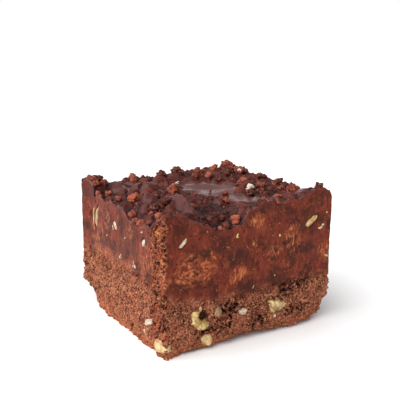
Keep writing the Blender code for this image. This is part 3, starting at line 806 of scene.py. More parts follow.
def makeBase():
    loop, _ = roundCorners(squareLoop())
    x, y = loop.T
    seam = seamHeight(x, y)
    points, normals = sideGrid(footHeight(x, y), seam, base["rows"])
    z = points[:, 2]
    toSeam = np.tile(seam, base["rows"] + 1) - z
    cut, share = fudgeRelief(points)
    out = relief(base["bumps"], points)
    pit = np.array([noise.voronoi(p)[0][0] for p in (points / base["pitSpacing"]).tolist()])
    out = out - base["pitDepth"] * (1 - eased(pit / base["pitSize"]))
    low = eased(1 - (z - footHeight(points[:, 0], points[:, 1])) / foot["height"])
    out = out - low * (foot["wear"] + relief(foot["bumps"], points))
    own = eased(toSeam / 1.5)
    out = own * np.clip(out, base["mostIn"], base["mostOut"]) + (1 - own) * cut
    more, looks = cutDetail(points, normals, toSeam, share)
    sides = pushOut(points, normals, out + more)

    count = len(loop)
    bottoms, tops = [], []
    for depth in reversed(base["bottomInsets"]):
        ring = inset(sides[:count, :2], depth)
        bottoms.append(np.column_stack([ring, footHeight(*ring.T) * (depth < base["bottomInsets"][-1])]))
    for depth in base["topInsets"]:
        flat = eased(depth / 2)
        tops.append(np.column_stack([inset(sides[-count:, :2], depth), seam * (1 - flat) + seams["inside"] * flat]))
    everywhere, atFoot, aboveGround = base["strew"]
    looks["strew"] = everywhere + atFoot * low + aboveGround * eased(z / 2)
    return closedShell("crumbBase", bottoms, sides, tops, count, looks, {"toSeam": 9.0})


def splitShare(points):
    wide = fudge["splitWidth"] * (0.25 + 0.75 * eased((points[:, 2] - fudge["splitFoot"]) / 3))
    across = 1 - eased((np.abs(points[:, 1] - fudge["splitY"]) - 0.2) / wide)
    return across * eased((points[:, 2] - fudge["splitFoot"]) / 0.8) * eased((-points[:, 0] - 25.0) / 3)


def paintedShadeUnderLip(points):
    # painted shade on the side of the raised corner, under its overhang
    shade = patchShare(points[:, 1], points[:, 2], marks["paintedShadeUnderLip"], 0.4 * wobble(points, 2.4, 6.4))
    return 0.85 * shade * (points[:, 0] < 1.5 - halfX)


def glazeBed(edge, drop):
    # loops that run inwards along the underside of the glaze, the last one level
    rings = []
    for depth in fudge["topInsets"]:
        ring = inset(edge, depth)
        height = underGlaze(*ring.T) - drop
        if depth == fudge["topInsets"][-1]:
            height[:] = height.mean()
        rings.append(np.column_stack([ring, height]))
    return rings


def makeFudge():
    loop, _ = roundCorners(squareLoop())
    x, y = loop.T
    seam = seamHeight(x, y)
    points, normals = sideGrid(seam, underGlaze(x, y) + 0.1, fudge["rows"])
    px, py, pz = points.T
    out, share = fudgeRelief(points)
    more, looks = cutDetail(points, normals, np.tile(seam, fudge["rows"] + 1) - pz, share)
    split = splitShare(points)
    sides = pushOut(points, normals, out + more - fudge["splitDepth"] * split)
    ragged = 0.8 * wobble(points, 2.4, 6.4)
    besideSplit = eased((py - fudge["splitY"] + ragged) / 1.2)
    # painted shade in the crack and under the raised corner
    looks["hollow"] = np.maximum(np.maximum(looks["hollow"], split), paintedShadeUnderLip(points))
    looks["rimShare"] = eased((pz - underGlaze(px, py)) / 1.4 + 1)
    looks["lip"] = eased((pz - fudge["lipFoot"] + ragged) / 1.6) * besideSplit * eased((-27.5 - px) / 2)
    looks["strew"] = share

    count = len(loop)
    bottoms = [np.column_stack([inset(sides[:count, :2], depth), np.full(count, seams["inside"])])
               for depth in fudge["bottomInsets"]]
    return closedShell("fudgeLayer", bottoms, sides, glazeBed(sides[-count:, :2], 0.3), count, looks, {})


# glaze: a fine grid on top, a thin side, and a plain underside

shards = {
    # angular lumps of set chocolate, as (x, y, radius, height)
    "placed": (
        (-20.5, 22.0, 3.0, 1.2), (-17.0, 13.0, 3.4, 1.7), (-14.5, 9.0, 3.2, 1.8), (-11.0, 15.5, 2.6, 1.2),
        (-21.0, -3.0, 3.4, 1.4), (-13.5, 3.5, 2.8, 1.4), (-6.0, 8.0, 3.0, 1.3), (-15.5, 22.5, 2.6, 1.0),
        (-6.5, 20.5, 3.0, 1.0), (12.1, -23.0, 2.6, 0.8), (21.1, -24.2, 2.8, 0.8), (3.0, 25.5, 3.0, 1.0),
        (-2.0, -12.0, 2.2, 0.9), (18.0, 23.5, 2.6, 0.8), (22.0, 1.0, 2.6, 0.9), (-24.0, -6.5, 2.2, 0.9),
    ),
    "facets": 7,
    "seed": 21,
    # the long fold: points (x, y) along its crest, its width, its height and how far its foot is sunk
    "fold": ((-12.2, -2.0), (-13.6, -8.0), (-14.4, -13.5), (-15.6, -20.5)),
    "foldWidth": 3.0, "foldHeight": 2.3, "foldSunk": 0.4,
}


def shardHeight(x, y):
    draw = random.Random(shards["seed"])
    best = np.full_like(x, -9.0)
    for middleX, middleY, radius, height in shards["placed"]:
        roof = np.full_like(x, height)
        for k in range(shards["facets"]):
            angle = (k + draw.uniform(-0.35, 0.35)) * 2 * math.pi / shards["facets"]
            slope = draw.uniform(0.5, 1.6)
            away = (x - middleX) * math.cos(angle) + (y - middleY) * math.sin(angle)
            roof = np.minimum(roof, height - slope * (away - radius * draw.uniform(0.15, 0.75)))
        best = np.maximum(best, roof)
    return best


def foldHeightAt(x, y):
    crest = np.array(shards["fold"])
    best = np.full_like(x, 99.0)
    side = np.zeros_like(x)
    for a, b in zip(crest, crest[1:]):
        run = b - a
        t = np.clip(((x - a[0]) * run[0] + (y - a[1]) * run[1]) / (run @ run), 0, 1)
        dx, dy = x - a[0] - t * run[0], y - a[1] - t * run[1]
        away = np.hypot(dx, dy)
        nearer = away < best
        side = np.where(nearer, dx, side)
        best = np.where(nearer, away, best)
    # steep on the side that faces the hollow, gentle on the other
    uneven = wobble(onPlane(x, y), 3.0, 5.3)
    width = np.where(side > 0, 0.55, 1.0) * shards["foldWidth"] * (1 + 0.5 * uneven)
    return shards["foldHeight"] * (1 - 0.5 * uneven) * np.clip(1 - best / width, 0, 1) ** 0.7


def inEllipses(x, y, ellipses, ragged):
    total = np.zeros_like(x)
    for middleX, middleY, sizeX, sizeY in ellipses:
        away = np.hypot((x - middleX) / sizeX, (y - middleY) / sizeY) + ragged
        total = np.maximum(total, 1 - eased((away - 0.82) / 0.3))
    return total


def smoothGlaze(x, y):
    return inEllipses(x, y, glazeTop["smooth"], 0.45 * wobble(onPlane(x, y), 3.5, 3.9))


def shadedShare(x, y):
    return inEllipses(x, y, glazeTop["shaded"], 0.5 * wobble(onPlane(x, y), 3.0, 2.1))


def pebbles(flat):
    # rounded lumps with creases between them: each lump's height, how deep the crease is, and its own draw
    size, much, seed = glazeTop["pebbleWarp"]
    warp = np.stack([wobble(flat, size, seed), wobble(flat, size, seed + 4.4), 0 * flat[:, 0]], 1)
    cells = [noise.voronoi(p) for p in (flat / glazeTop["pebbleSize"] + 2 * much * warp).tolist()]
    nearest = np.array([distances[:2] for distances, _ in cells])
    middle = np.array([tuple(points[0]) for _, points in cells])
    border = nearest[:, 1] - nearest[:, 0]
    draw = np.mod(np.sin(middle @ np.array((12.99, 78.23, 37.72))) * 43758.55, 1.0)
    dome = eased(border / glazeTop["pebbleSoft"]) ** 0.6
    low, high = glazeTop["pebbleLow"], glazeTop["pebbleHigh"]
    return low + dome * (0.25 + 0.75 * draw) * (high - low), 1 - eased(border / 0.16), draw


def fineTop(x, y):
    edge = fromEdge(x, y)
    rough = (1 - smoothGlaze(x, y)) * (glazeTop["pebbleAtRim"] + (1 - glazeTop["pebbleAtRim"]) * eased(edge / 2))
    flat = onPlane(x, y)
    shape = topHeight(x, y) + (1 - rough) * relief(glazeTop["poolWaves"], flat)
    ease = 1 - (1 - glazeTop["rimBumpsFront"]) * (y < 0.5 - halfY)
    shape = shape + (1 - eased(edge / 1.6)) * ease * relief(glazeTop["rimBumps"], flat)
    pebble, crease, draw = pebbles(flat)
    sunk = 1 - glazeTop["lowerInShade"] * shadedShare(x, y)
    lumps = shape + rough * (pebble * sunk + relief(glazeTop["knobs"], flat))
    shardTop = shape + shardHeight(x, y) * eased(edge / 2)
    fold = shape - shards["foldSunk"] + foldHeightAt(x, y)
    sharp = np.maximum(shardTop, fold) > lumps
    split = splitShare(onPlane(x, y, 39.0))
    height = np.maximum(np.maximum(lumps, shardTop), fold) - fudge["splitTopDepth"] * split
    return height, rough, sharp, split, crease * rough * ~sharp, np.where(sharp, 0.0, draw * rough)


def lowness(height, across, deep):
    # how far each point of the top lies below its surroundings, in mm
    grid = height.reshape(deep + 1, across + 1)
    total = np.zeros_like(grid)
    reach = round(1.6 / square["step"])
    wide = np.pad(grid, reach, mode="edge")
    ways = ((-1, 0), (1, 0), (0, -1), (0, 1), (-0.7, -0.7), (0.7, -0.7), (-0.7, 0.7), (0.7, 0.7))
    for shiftX, shiftY in ways:
        i, j = reach + round(shiftY * reach), reach + round(shiftX * reach)
        total += wide[i:i + deep + 1, j:j + across + 1]
    return (total / len(ways) - grid).ravel()


def makeGlaze():
    across, deep = round(2 * halfX / square["step"]), round(2 * halfY / square["step"])
    gridX, gridY = np.meshgrid(np.linspace(-halfX, halfX, across + 1), np.linspace(-halfY, halfY, deep + 1))
    flat = np.stack([gridX.ravel(), gridY.ravel()], 1)
    rounded, normals = roundCorners(flat)
    x, y = flat.T
    height, rough, sharp, split, crease, draw = fineTop(x, y)
    # the rim of the top follows the relief of the cut face below it, and the relief dies out inwards
    points = np.column_stack([rounded, height])
    cut, _ = fudgeRelief(points)
    edge = fromEdge(x, y)
    onRim = edge < 0.01
    outward = np.where(onRim[:, None], normals, 0.0)
    outward[~onRim, 0] = (np.sign(x) * (halfX - np.abs(x) < 1.2))[~onRim]
    outward[~onRim, 1] = (np.sign(y) * (halfY - np.abs(y) < 1.2))[~onRim]
    points[:, :2] += outward * ((cut - cornerEase(points)) * (1 - eased(edge / 1.2)))[:, None]

    rim = rimIndex(across, deep)
    count = len(rim)
    under = underGlaze(*flat[rim].T)
    rings = []
    for t in (0.3, 0.6, 0.85, 1.0):
        row = points[rim].copy()
        row[:, 2] = row[:, 2] + (under - row[:, 2]) * t if t < 1 else under
        rings.append(row)
    sideRings = len(rings)
    rings += glazeBed(rings[-1][:, :2], 0.0)
    allPoints = np.concatenate([points, *rings])
    total = len(points)

    cell = np.arange(deep)[:, None] * (across + 1) + np.arange(across)[None, :]
    quads = np.stack([cell, cell + 1, cell + across + 2, cell + across + 1], -1).reshape(-1, 4).tolist()
    here = np.arange(count)
    after = (here + 1) % count
    quads += np.stack([rim[after], rim[here], total + here, total + after], -1).tolist()
    for k in range(len(rings) - 1):
        start = total + k * count
        quads += np.stack([start + after, start + here, start + count + here, start + count + after], -1).tolist()
    quads.append(list(range(len(allPoints) - count, len(allPoints)))[::-1])

    pad = (0, len(allPoints) - total)
    cutSide = np.pad(np.where(onRim, 1.0, 0.0), pad)
    cutSide[total:total + sideRings * count] = 1.0
    # painted shade: the creases between lumps, points lower than their surroundings, the shaded hollows and the crack
    # are darkened
    shade = shadedShare(x, y) * rough
    hollow = crease + 1.5 * (lowness(height, across, deep) - 0.12) + 0.85 * shade
    hollow = np.clip(np.clip(hollow, 0, 0.92) + split, 0, 1)
    clump = inEllipses(x, y, glazeTop["crumbled"], 0.6 * wobble(onPlane(x, y), 4.0, 8.1))
    strewn = 0.04 * rough + 0.6 * clump * eased((wobble(onPlane(x, y), 3.2, 6.6) + 0.02) / 0.25) + 0.6 * shade
    return meshObject("chocolateGlaze", allPoints, quads, {
        # painted shade under the raised corner as well
        "hollow": np.maximum(np.pad(hollow, pad), paintedShadeUnderLip(allPoints)),
        "rough": np.pad(rough * np.where(sharp, 0.55, 1.0), pad, constant_values=0.8),
        "reddish": np.pad(0.7 * eased((draw - 0.62) / 0.3), pad),
        "cutSide": cutSide,
        "strew": np.pad(strewn * rough + 0.4 * (1 - eased(edge / 2.0)), pad),
    })


def rimIndex(across, deep):
    row = across + 1
    return np.concatenate([
        np.arange(across), np.arange(deep) * row + across,
        deep * row + np.arange(across, 0, -1), np.arange(deep, 0, -1) * row,
    ])


crumbBase = makeBase()
print("crumb base:", len(crumbBase.data.polygons), "faces")
fudgeLayer = makeFudge()
print("fudge layer:", len(fudgeLayer.data.polygons), "faces")
chocolateGlaze = makeGlaze()
print("glaze:", len(chocolateGlaze.data.polygons), "faces")


# baked crumbs, by Geometry Nodes

def lumpTree(name, scattered):
    # rough lumps on the input's own points, or scattered over its faces where "strew" lets them
    graph, want, result, ids = newTree(name, "GeometryNodeTree", (
        ("Geometry", "Geometry", None), ("Density", "Float", 1.0), ("Smallest", "Float", 0.3),
        ("Largest", "Float", 1.0), ("Squash", "Float", 0.8), ("Rise", "Float", 0.2), ("Detail", "Int", 2),
        ("Lumpiness", "Float", 0.5), ("Lump Size", "Float", 1.5), ("Grain", "Float", 0.1),
        ("Grain Size", "Float", 0.4), ("Seed", "Int", 1), ("Material", "Material", None),
    ), (("Geometry", "Geometry"),))
    seed = want["Seed"]

    def drawn(kind, output=0, **values):
        return graph.add("FunctionNodeRandomValue", {"Seed": seed, **values}, data_type=kind).outputs[output]

    if scattered:
        density = graph.times(want["Density"], graph.named("strew"))
        spread = graph.add("GeometryNodeDistributePointsOnFaces", {
            "Mesh": want["Geometry"], "Density": density, "Seed": seed}).outputs
        points, normal = spread["Points"], spread["Normal"]
        small = graph.calc("POWER", drawn("FLOAT", 1), 2.2)
        span = graph.calc("SUBTRACT", want["Largest"], want["Smallest"])
        size = graph.calc("ADD", want["Smallest"], graph.times(small, span))
    else:
        points, size, normal = want["Geometry"], graph.named("size"), graph.combined(Z=1.0)
    reach = graph.times(size, mm)
    lift = graph.scaled(normal, graph.times(reach, want["Rise"]))
    placed = graph.add("GeometryNodeSetPosition", {"Geometry": points, "Offset": lift}).outputs[0]
    ball = graph.add("GeometryNodeMeshIcoSphere", {"Radius": 1.0, "Subdivisions": want["Detail"]}).outputs["Mesh"]
    turned = drawn("FLOAT_VECTOR", Max=(0.5, 0.5, 6.28))
    if scattered:
        upright = graph.add("FunctionNodeAlignRotationToVector", {"Vector": normal}, axis="Z").outputs[0]
        turned = graph.add("FunctionNodeRotateRotation", {
            "Rotation": upright, "Rotate By": turned}, rotation_space="LOCAL").outputs[0]
    shape = drawn("FLOAT_VECTOR", Min=(0.8, 0.65, 0.7), Max=(1.15, 1.0, 1.0))
    sized = graph.vector("MULTIPLY", shape, graph.combined(X=1.0, Y=1.0, Z=want["Squash"]))
    lumps = graph.add("GeometryNodeInstanceOnPoints", {
        "Points": placed, "Instance": ball, "Rotation": turned, "Scale": graph.scaled(sized, reach)}).outputs[0]
    for key, value in (("tint", drawn("FLOAT", 1)), ("reach", reach)):
        lumps = graph.add("GeometryNodeStoreNamedAttribute", {
            "Geometry": lumps, "Name": key, "Value": value}, data_type="FLOAT", domain="INSTANCE").outputs[0]
    real = graph.add("GeometryNodeRealizeInstances", {"Geometry": lumps}).outputs[0]

    # each lump is at its own place in the noise, so no two are alike
    inMm = graph.scaled(graph.add("GeometryNodeInputPosition").outputs[0], 1000.0)
    broad = graph.noise(inMm, graph.calc("DIVIDE", 1.0, want["Lump Size"]), 2.0)
    chunks = graph.add("ShaderNodeTexVoronoi", {
        "Vector": inMm, "Scale": graph.calc("DIVIDE", 1.3, want["Lump Size"])}).outputs["Distance"]
    fine = graph.noise(inMm, graph.calc("DIVIDE", 1.0, want["Grain Size"]), 3.0)
    bulge = graph.times(graph.calc("SUBTRACT", broad, 0.5), want["Lumpiness"])
    facet = graph.times(graph.calc("SUBTRACT", 0.45, chunks), graph.times(want["Lumpiness"], 0.35))
    grit = graph.times(graph.calc("SUBTRACT", fine, 0.5), want["Grain"])
    offset = graph.calc("ADD", graph.calc("ADD", bulge, facet), grit)
    outward = graph.add("GeometryNodeInputNormal").outputs[0]
    push = graph.scaled(outward, graph.times(offset, graph.named("reach")))
    rough = graph.add("GeometryNodeSetPosition", {"Geometry": real, "Offset": push}).outputs[0]
    # nothing goes below the ground
    now = graph.parts(graph.add("GeometryNodeInputPosition").outputs[0])
    above = graph.combined(X=now["X"], Y=now["Y"], Z=graph.calc("MAXIMUM", now["Z"], 0.0))
    rough = graph.add("GeometryNodeSetPosition", {"Geometry": rough, "Position": above}).outputs[0]
    smooth = graph.add("GeometryNodeSetShadeSmooth", {"Geometry": rough, "Shade Smooth": True}).outputs[0]
    painted = graph.add("GeometryNodeSetMaterial", {"Geometry": smooth, "Material": want["Material"]}).outputs[0]
    return putOut(graph, result, Geometry=painted), ids


def runTree(name, source, treeAndIds, settings):
    tree, ids = treeAndIds
    carrier = inScene(name + "Source", source)
    modifier = carrier.modifiers.new("lumps", "NODES")
    modifier.node_group = tree
    for key, value in settings.items():
        modifier[ids[key]] = value
    bpy.context.view_layer.update()
    data = bpy.data.meshes.new_from_object(carrier.evaluated_get(bpy.context.evaluated_depsgraph_get()))
    bpy.data.objects.remove(carrier, do_unlink=True)
    data.name = name
    return inScene(name, data)


placedLumps = lumpTree("placedLumps", False)
strewnLumps = lumpTree("strewnLumps", True)

crumbs = {
    # (x, y, radius): those that stand out along the rims, then inside them
    "rim": (
        (-26.7, 15.3, 1.5), (-27.1, 6.1, 1.4), (-28.4, -6.6, 1.3), (-28.9, -13.6, 1.4), (-12.8, 25.8, 2.0),
        (-1.3, 26.4, 2.0), (5.7, 26.8, 2.4), (14.2, 27.0, 1.8), (21.4, 26.4, 1.9), (26.4, 24.4, 3.0),
        (26.6, 16.0, 2.2), (27.4, 4.7, 1.9), (26.6, -5.7, 2.2), (22.9, -18.0, 2.1), (25.6, -27.4, 1.5),
        (-28.2, 26.6, 1.8), (-27.4, 23.6, 2.0), (-25.6, 21.3, 1.8), (-28.8, 20.6, 1.3), (28.2, -26.2, 1.2),
        (-29.0, -10.2, 1.0), (-28.6, -18.0, 1.2), (3.8, -27.8, 1.1), (-11.2, -27.9, 1.0),
    ),
    "inner": (
        (-24.2, 1.7, 2.1), (-16.5, 0.3, 2.0), (-9.0, 3.4, 2.5), (-17.6, -7.8, 2.1), (-22.1, -10.4, 2.4),
        (10.5, 20.6, 2.1), (10.4, -12.3, 1.8), (17.6, -8.6, 2.0), (24.0, -12.4, 2.0), (0.6, -13.6, 1.5),
        (-5.0, -26.2, 1.7), (4.2, -7.0, 1.2), (2.7, -0.4, 0.6), (-12.1, -5.5, 1.3), (-11.4, -13.1, 1.4),
        (20.6, 15.2, 1.9), (15.0, -12.6, 1.5), (20.4, -15.4, 1.5), (13.4, -22.4, 1.4), (17.2, -23.4, 1.2),
    ),
    # patches of strewn ones, as (lowest x, highest x, lowest y, highest y, how many)
    "patches": ((14, 27, -16, 20, 8), (-27, -8, 0, 27, 3)),
    "seed": 11, "smallest": 1.0, "largest": 1.7,
}

# settings of the lump trees: large crumbs at their places, then strewn ones
lumpKinds = {
    "bakedCrumbs": {
        "Rise": 0.3, "Squash": 0.85, "Detail": 4, "Lumpiness": 1.25, "Lump Size": 1.7,
        "Grain": 0.35, "Grain Size": 0.5, "Seed": 3, "Material": bakedTopping},
    "bakedCrumbsSmall": {
        "Density": 110000.0, "Smallest": 0.45, "Largest": 1.3, "Rise": 0.2, "Squash": 0.85, "Detail": 2,
        "Lumpiness": 1.3, "Lump Size": 0.7, "Grain": 0.3, "Grain Size": 0.3, "Seed": 7, "Material": bakedTopping},
    "bakedCrumbsFinest": {
        "Density": 900000.0, "Smallest": 0.16, "Largest": 0.42, "Rise": 0.1, "Squash": 0.8, "Detail": 1,
        "Lumpiness": 1.0, "Lump Size": 0.4, "Grain": 0.2, "Grain Size": 0.2, "Seed": 8, "Material": bakedTopping},
    "looseBaseCrumbs": {
        "Density": 700000.0, "Smallest": 0.13, "Largest": 0.75, "Rise": 0.08, "Squash": 0.75, "Detail": 1,
        "Lumpiness": 1.3, "Lump Size": 0.5, "Grain": 0.3, "Grain Size": 0.25, "Seed": 5, "Material": bakedCrumb},
}
lumpKinds["looseFudgeCrumbs"] = {**lumpKinds["looseBaseCrumbs"], "Seed": 6}


def strew(name, source):
    return runTree(name, source, strewnLumps, lumpKinds[name])


def crumbPlaces():
    places = list(crumbs["rim"] + crumbs["inner"])
    draw = random.Random(crumbs["seed"])
    for lowX, highX, lowY, highY, wanted in crumbs["patches"]:
        enough = len(places) + wanted
        while len(places) < enough:
            x, y = draw.uniform(lowX, highX), draw.uniform(lowY, highY)
            radius = draw.uniform(crumbs["smallest"], crumbs["largest"])
            clear = all(math.hypot(x - a, y - b) > 0.8 * (radius + r) for a, b, r in places)
            if clear and poolShare(np.array([x]), np.array([y]))[0] < 0.3:
                places.append((x, y, radius))
    return np.array(places)


def makeLargeCrumbs():
    x, y, radius = crumbPlaces().T
    points = bpy.data.meshes.new("crumbPoints")
    points.from_pydata((np.column_stack([x, y, topHeight(x, y)]) * mm).tolist(), [], [])
    points.attributes.new("size", "FLOAT", "POINT").data.foreach_set("value", radius.astype(np.float32))
    return runTree("bakedCrumbs", points, placedLumps, lumpKinds["bakedCrumbs"])


toppings = [makeLargeCrumbs()]
toppings += [strew(name, chocolateGlaze.data) for name in ("bakedCrumbsSmall", "bakedCrumbsFinest")]
print("baked crumbs:", [len(piece.data.polygons) for piece in toppings], "faces")
looseBaseCrumbs = strew("looseBaseCrumbs", crumbBase.data)
looseFudgeCrumbs = strew("looseFudgeCrumbs", fudgeLayer.data)
print("side crumbs:", len(looseBaseCrumbs.data.polygons), "and", len(looseFudgeCrumbs.data.polygons), "faces")


# nuts

def faceFrame(face, place, height):
    spot, degrees = {
        "front": ((place, -halfY, height), 0), "right": ((halfX, place, height), 90),
        "back": ((place, halfY, height), 180), "left": ((-halfX, place, height), -90),
    }[face]
    return Matrix.Translation(spot) @ Matrix.Rotation(math.radians(degrees), 4, "Z")


def nutSpot(face, place, height, length, breadth, deep, degrees, sunk):
    # from a ball of radius 1 to a nut's size, turn and place in its face
    tilt = Matrix.Rotation(math.radians(-degrees), 4, "Y")
    size = Matrix.Diagonal((length / 2, deep, breadth / 2, 1))
    return faceFrame(face, place, height) @ Matrix.Translation((0, sunk, 0)) @ tilt @ size


def movedBy(spot, points):
    turned = np.array(spot)
    return points @ turned[:3, :3].T + turned[:3, 3]


def unitBall(subdivisions):
    ball = bmesh.new()
    bmesh.ops.create_icosphere(ball, subdivisions=subdivisions, radius=1.0)
    unit = np.array([v.co for v in ball.verts])
    cells = np.array([[v.index for v in f.verts] for f in ball.faces])
    ball.free()
    return unit, cells


# how grey-white each one is, and how brown its skin is
nutTints = {
    "nut_front_pale": (0.75, 0.3), "nut_front_faint": (0.1, 1.0), "nut_left_white": (0.9, 0.2),
    "nut_corner": (0.15, 0.4), "sliver_front": (0.7, 0.2), "sliver_left_high": (0.9, 0.2),
    "sliver_left_mid": (0.95, 0.1), "sliver_left_long": (0.4, 0.7), "almond_front": (0.0, 0.5),
    "nut_front_foot": (0.0, 0.6), "walnut_front": (0.05, 0.35),
}
otherTint = (0.15, 0.35)


def camelName(node):
    first, *rest = node.split("_")
    return first + "".join(word.capitalize() for word in rest)


def makeNut(node):
    face, place, height, length, breadth, deep, degrees, seed = nuts[node]
    unit, cells = unitBall(5 if length > 3 else 4)
    walnut = node.startswith("walnut")
    swell = nutShape["rough"] * wobble(unit, 0.9, 1.7 * seed)
    grooves = np.abs(wobble(unit, 0.55 if walnut else 0.8, seed + 0.4))
    crease = (1 - eased(grooves / 0.3)) * (0.2 if walnut else 0.07)
    fine = 0.03 * wobble(unit, 0.22, seed + 2.2)
    spot = nutSpot(face, place, height, length, breadth, deep / 2, degrees, nutShape["sunk"] * deep)
    white, brown = nutTints.get(node, otherTint)
    hollow = np.clip(crease * (3.2 if walnut else 5.0) + 0.5 * (brown == 1.0), 0, 0.75)
    return meshObject(camelName(node), movedBy(spot, unit * (1 + swell - crease + fine)[:, None]), cells.tolist(), {
        "hollow": hollow, "white": hollow * 0 + white, "brown": hollow * 0 + brown})


def makeCurl():
    # a ring of walnut, thick at its lower left and thin where the crumb covers its right
    rounds, sides = 110, 44
    turns = [np.arange(count) * 2 * math.pi / count for count in (rounds, sides)]
    u, v = (angle.ravel() for angle in np.meshgrid(*turns, indexing="ij"))
    ring = np.stack([np.cos(u), np.zeros_like(u), np.sin(u)], 1)
    knots = wobble(ring * curl["radius"], 1.5, 3.3)
    rod = curl["rod"] * (1 + 0.28 * knots + 0.16 * np.cos(u - 3.9))
    ripple = np.stack([np.cos(u), np.sin(v) * 0.6, np.sin(u)], 1) * curl["radius"]
    crease = 1 - eased(np.abs(wobble(ripple, 0.8, 6.2)) / 0.28)
    # open towards the upper right, where it thins and sinks into the crumb
    opening = eased((np.cos(u - 0.45) - 0.25) / 0.6)
    rod = rod * (1 - 0.14 * crease + 0.05 * wobble(ripple, 0.5, 1.1)) * (1 - 0.5 * opening)
    middle = curl["radius"] * (1 + 0.22 * wobble(ring, 0.9, 7.7))
    away = middle + rod * np.cos(v)
    depth = rod * np.sin(v) + 1.9 * opening
    points = np.stack([curl["x"] + away * np.cos(u), -halfY + curl["sunk"] + depth, curl["z"] + away * np.sin(u)], 1)
    index = np.arange(rounds * sides).reshape(rounds, sides)
    nextU, nextV = np.roll(index, -1, 0), np.roll(index, -1, 1)
    faces = np.stack([index, nextV, np.roll(nextU, -1, 1), nextU], -1).reshape(-1, 4).tolist()
    right = eased((np.cos(u) - 0.35) / 0.6)
    return meshObject("walnutCurled", points, faces, {"hollow": np.clip(0.6 * crease + 0.5 * right, 0, 0.9)})


specks = {
    # crumbs and one thin sliver of nut in the cut faces: face, place, height, length, breadth, turn, whiteness
    "cut": (
        ("front", 26.2, 31.6, 2.5, 1.7, 20, 0.5), ("front", -6.0, 32.4, 1.9, 1.4, 70, 0.0),
        ("front", 28.6, 22.0, 1.3, 1.0, 60, 0.3), ("front", 9.3, 30.7, 1.0, 0.7, 0, 0.2),
        ("front", -0.2, 29.4, 1.0, 0.6, 10, 0.0), ("front", 8.0, 18.5, 0.9, 0.6, 30, 0.3),
        ("front", 0.2, 15.9, 1.7, 0.9, 80, 0.1), ("front", 8.4, 5.4, 1.6, 0.7, 30, 0.7),
        ("front", 27.9, 35.8, 0.9, 0.7, 30, 0.4), ("front", -16.5, 35.0, 0.8, 0.6, 0, 0.3),
        ("left", -10.4, 22.9, 2.4, 0.6, 70, 1.0), ("left", -11.8, 22.0, 1.8, 0.6, 110, 0.9),
        ("left", -1.2, 22.9, 2.6, 0.6, 60, 1.0), ("left", -1.8, 22.6, 2.2, 0.6, 125, 1.0),
        ("left", 3.9, 30.8, 1.7, 0.5, 125, 0.8), ("left", -17.6, 4.5, 2.0, 1.2, 70, 0.4),
        ("left", 19.9, 31.3, 7.0, 1.0, 84, 0.1), ("left", -4.6, 29.4, 0.8, 0.5, 40, 0.6),
        ("left", 8.6, 27.4, 0.9, 0.5, 60, 0.5), ("left", -16.4, 33.8, 0.8, 0.6, 0, 0.4),
    ),
    # small white lumps on the glaze, as (x, y, radius)
    "top": ((13.8, -7.4, 1.05), (12.4, -8.6, 0.75), (26.2, 15.4, 1.0), (-1.2, 14.6, 0.6)),
    "topWhite": 1.0, "deep": 0.9, "sunk": 0.75,
}


def makeSpecks():
    unit, cells = unitBall(4)
    points, faces, whites = [], [], []

    def add(spot, white, seed):
        rough = unit * (1 + 0.75 * wobble(unit, 0.9, seed) + 0.2 * wobble(unit, 0.3, seed))[:, None]
        faces.append(cells + len(points) * len(unit))
        points.append(movedBy(spot, rough))
        whites.append(np.full(len(unit), white))

    deep = specks["deep"]
    for k, (face, place, height, length, breadth, degrees, white) in enumerate(specks["cut"]):
        spot = nutSpot(face, place, height, length, breadth, deep, degrees, specks["sunk"] * deep)
        add(spot, white, 3.7 * k + 1.3)
    for k, (x, y, radius) in enumerate(specks["top"]):
        spot = Matrix.Translation((x, y, topHeight(np.array([x]), np.array([y]))[0] + 1.1 * radius))
        add(spot @ Matrix.Diagonal((radius, 0.8 * radius, 0.8 * radius, 1)), specks["topWhite"], 5.1 * k + 2.6)
    white = np.concatenate(whites)
    return meshObject("nutSpecks", np.concatenate(points), np.concatenate(faces).tolist(), {
        "white": white, "brown": 0.3 * (1 - white), "hollow": 0 * white})


nutPieces = {node: makeNut(node) for node in nuts}
walnutCurled = makeCurl()
nutSpecks = makeSpecks()
print("nut pieces:", len(nutPieces) + 1)


# the pieces take their places in the frame

finish(crumbBase, bakedCrumb, "baked_crumb", "crumb_base")
finish(fudgeLayer, fudgeLook, "fudge", "fudge_layer")
finish(chocolateGlaze, glazeLook, "glaze", "chocolate_glaze")
for piece in toppings:
    finish(piece, bakedTopping, "glaze")
finish(looseBaseCrumbs, bakedCrumb, "baked_crumb")
finish(looseFudgeCrumbs, bakedCrumb, "baked_crumb")
for node, piece in nutPieces.items():
    finish(piece, nutFlesh, "nut", node)
finish(walnutCurled, nutFlesh, "nut", "walnut_curled")
finish(nutSpecks, nutFlesh, "nut")


# floor, light and camera

studio = {
    "floorSize": 8.0, "floorColour": (0.94, 0.94, 0.94, 1),
    "skyColour": (1.0, 1.0, 1.0, 1), "backdropStrength": 1.0,
    "brightFrom": (-0.8, 0.1, 0.6), "skyStrength": (0.36, 0.78), "shineStrength": (0.2, 1.3),
    "bandHeights": (0.13, 0.36), "bandStrength": 1.35,
    "keyFrom": (-0.67, -0.10, 0.74), "keyStrength": 3.2, "keyAngle": 68.0,
}


def makeFloor():
    half = studio["floorSize"] / 2
    data = bpy.data.meshes.new("floor")
    data.from_pydata([(-half, -half, 0), (half, -half, 0), (half, half, 0), (-half, half, 0)], [], [(0, 1, 2, 3)])
    floor = inScene("floor", data)
    material, graph, shader, _ = newMaterial("floorPaper")
    for key, value in (("Base Color", studio["floorColour"]), ("Roughness", 0.9), ("Specular IOR Level", 0.1)):
        graph.feed(shader.inputs[key], value)
    data.materials.append(material)


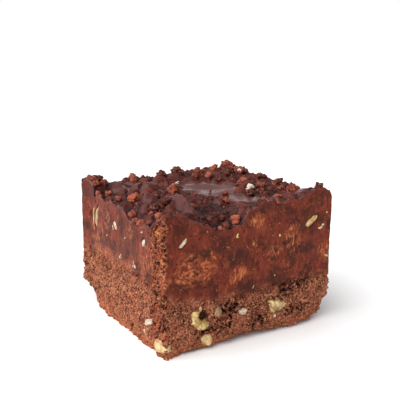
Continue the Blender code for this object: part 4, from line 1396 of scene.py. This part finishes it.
def makeLight():
    world = bpy.data.worlds.new("studioWorld")
    world.use_nodes = True
    graph = Graph(world.node_tree)
    background = graph.tree.nodes["Background"]
    # a white backdrop to look at; what lights and shines is brightest at the upper left
    seen = graph.add("ShaderNodeLightPath").outputs
    direction = graph.add("ShaderNodeTexCoord").outputs["Generated"]
    towards = Vector(studio["brightFrom"]).normalized()
    dot = graph.add("ShaderNodeVectorMath", {0: direction, 1: towards}, operation="DOT_PRODUCT").outputs["Value"]
    soft = graph.ranged(dot, -0.5, 0.9, *studio["skyStrength"])
    shiny = graph.ranged(dot, -0.3, 0.9, *studio["shineStrength"])
    # a bright band low down, which the smooth glaze catches where it tilts away
    band = graph.ranged(graph.parts(direction)["Z"], *studio["bandHeights"], studio["bandStrength"], 0.0)
    strength = soft
    for share, value in (
        (seen["Is Glossy Ray"], graph.calc("MAXIMUM", shiny, band)),
        (seen["Is Camera Ray"], studio["backdropStrength"]),
    ):
        strength = graph.add("ShaderNodeMix", {0: share, 2: strength, 3: value}).outputs[0]
    graph.feed(background.inputs["Color"], studio["skyColour"])
    graph.feed(background.inputs["Strength"], strength)
    bpy.context.scene.world = world
    lamp = bpy.data.lights.new("keyLight", "SUN")
    lamp.energy = studio["keyStrength"]
    lamp.angle = math.radians(studio["keyAngle"])
    key = inScene("keyLight", lamp)
    key.rotation_euler = Vector(studio["keyFrom"]).to_track_quat("Z", "Y").to_euler()
    key.location = (-0.3, -0.1, 0.3)


view = {"place": (-0.1024, -0.16478, 0.07613), "yaw": 31.633, "pitch": 11.329, "roll": 0.618, "lens": 54.2}


def makeCamera():
    yaw, pitch, roll = (math.radians(view[key]) for key in ("yaw", "pitch", "roll"))
    forward = Vector((math.sin(yaw) * math.cos(pitch), math.cos(yaw) * math.cos(pitch), -math.sin(pitch)))
    right = Vector((math.cos(yaw), -math.sin(yaw), 0))
    up = right.cross(forward)
    tiltedRight = math.cos(roll) * right + math.sin(roll) * up
    tiltedUp = -math.sin(roll) * right + math.cos(roll) * up
    lens = bpy.data.cameras.new("camera")
    lens.lens = view["lens"]
    lens.sensor_width = 36
    lens.clip_start, lens.clip_end = 0.01, 10
    camera = inScene("camera", lens)
    turn = Matrix((tiltedRight, tiltedUp, -forward)).transposed().to_4x4()
    camera.matrix_world = Matrix.Translation(view["place"]) @ turn
    bpy.context.scene.camera = camera


makeFloor()
makeLight()
makeCamera()
bpy.context.scene.view_settings.view_transform = "Standard"
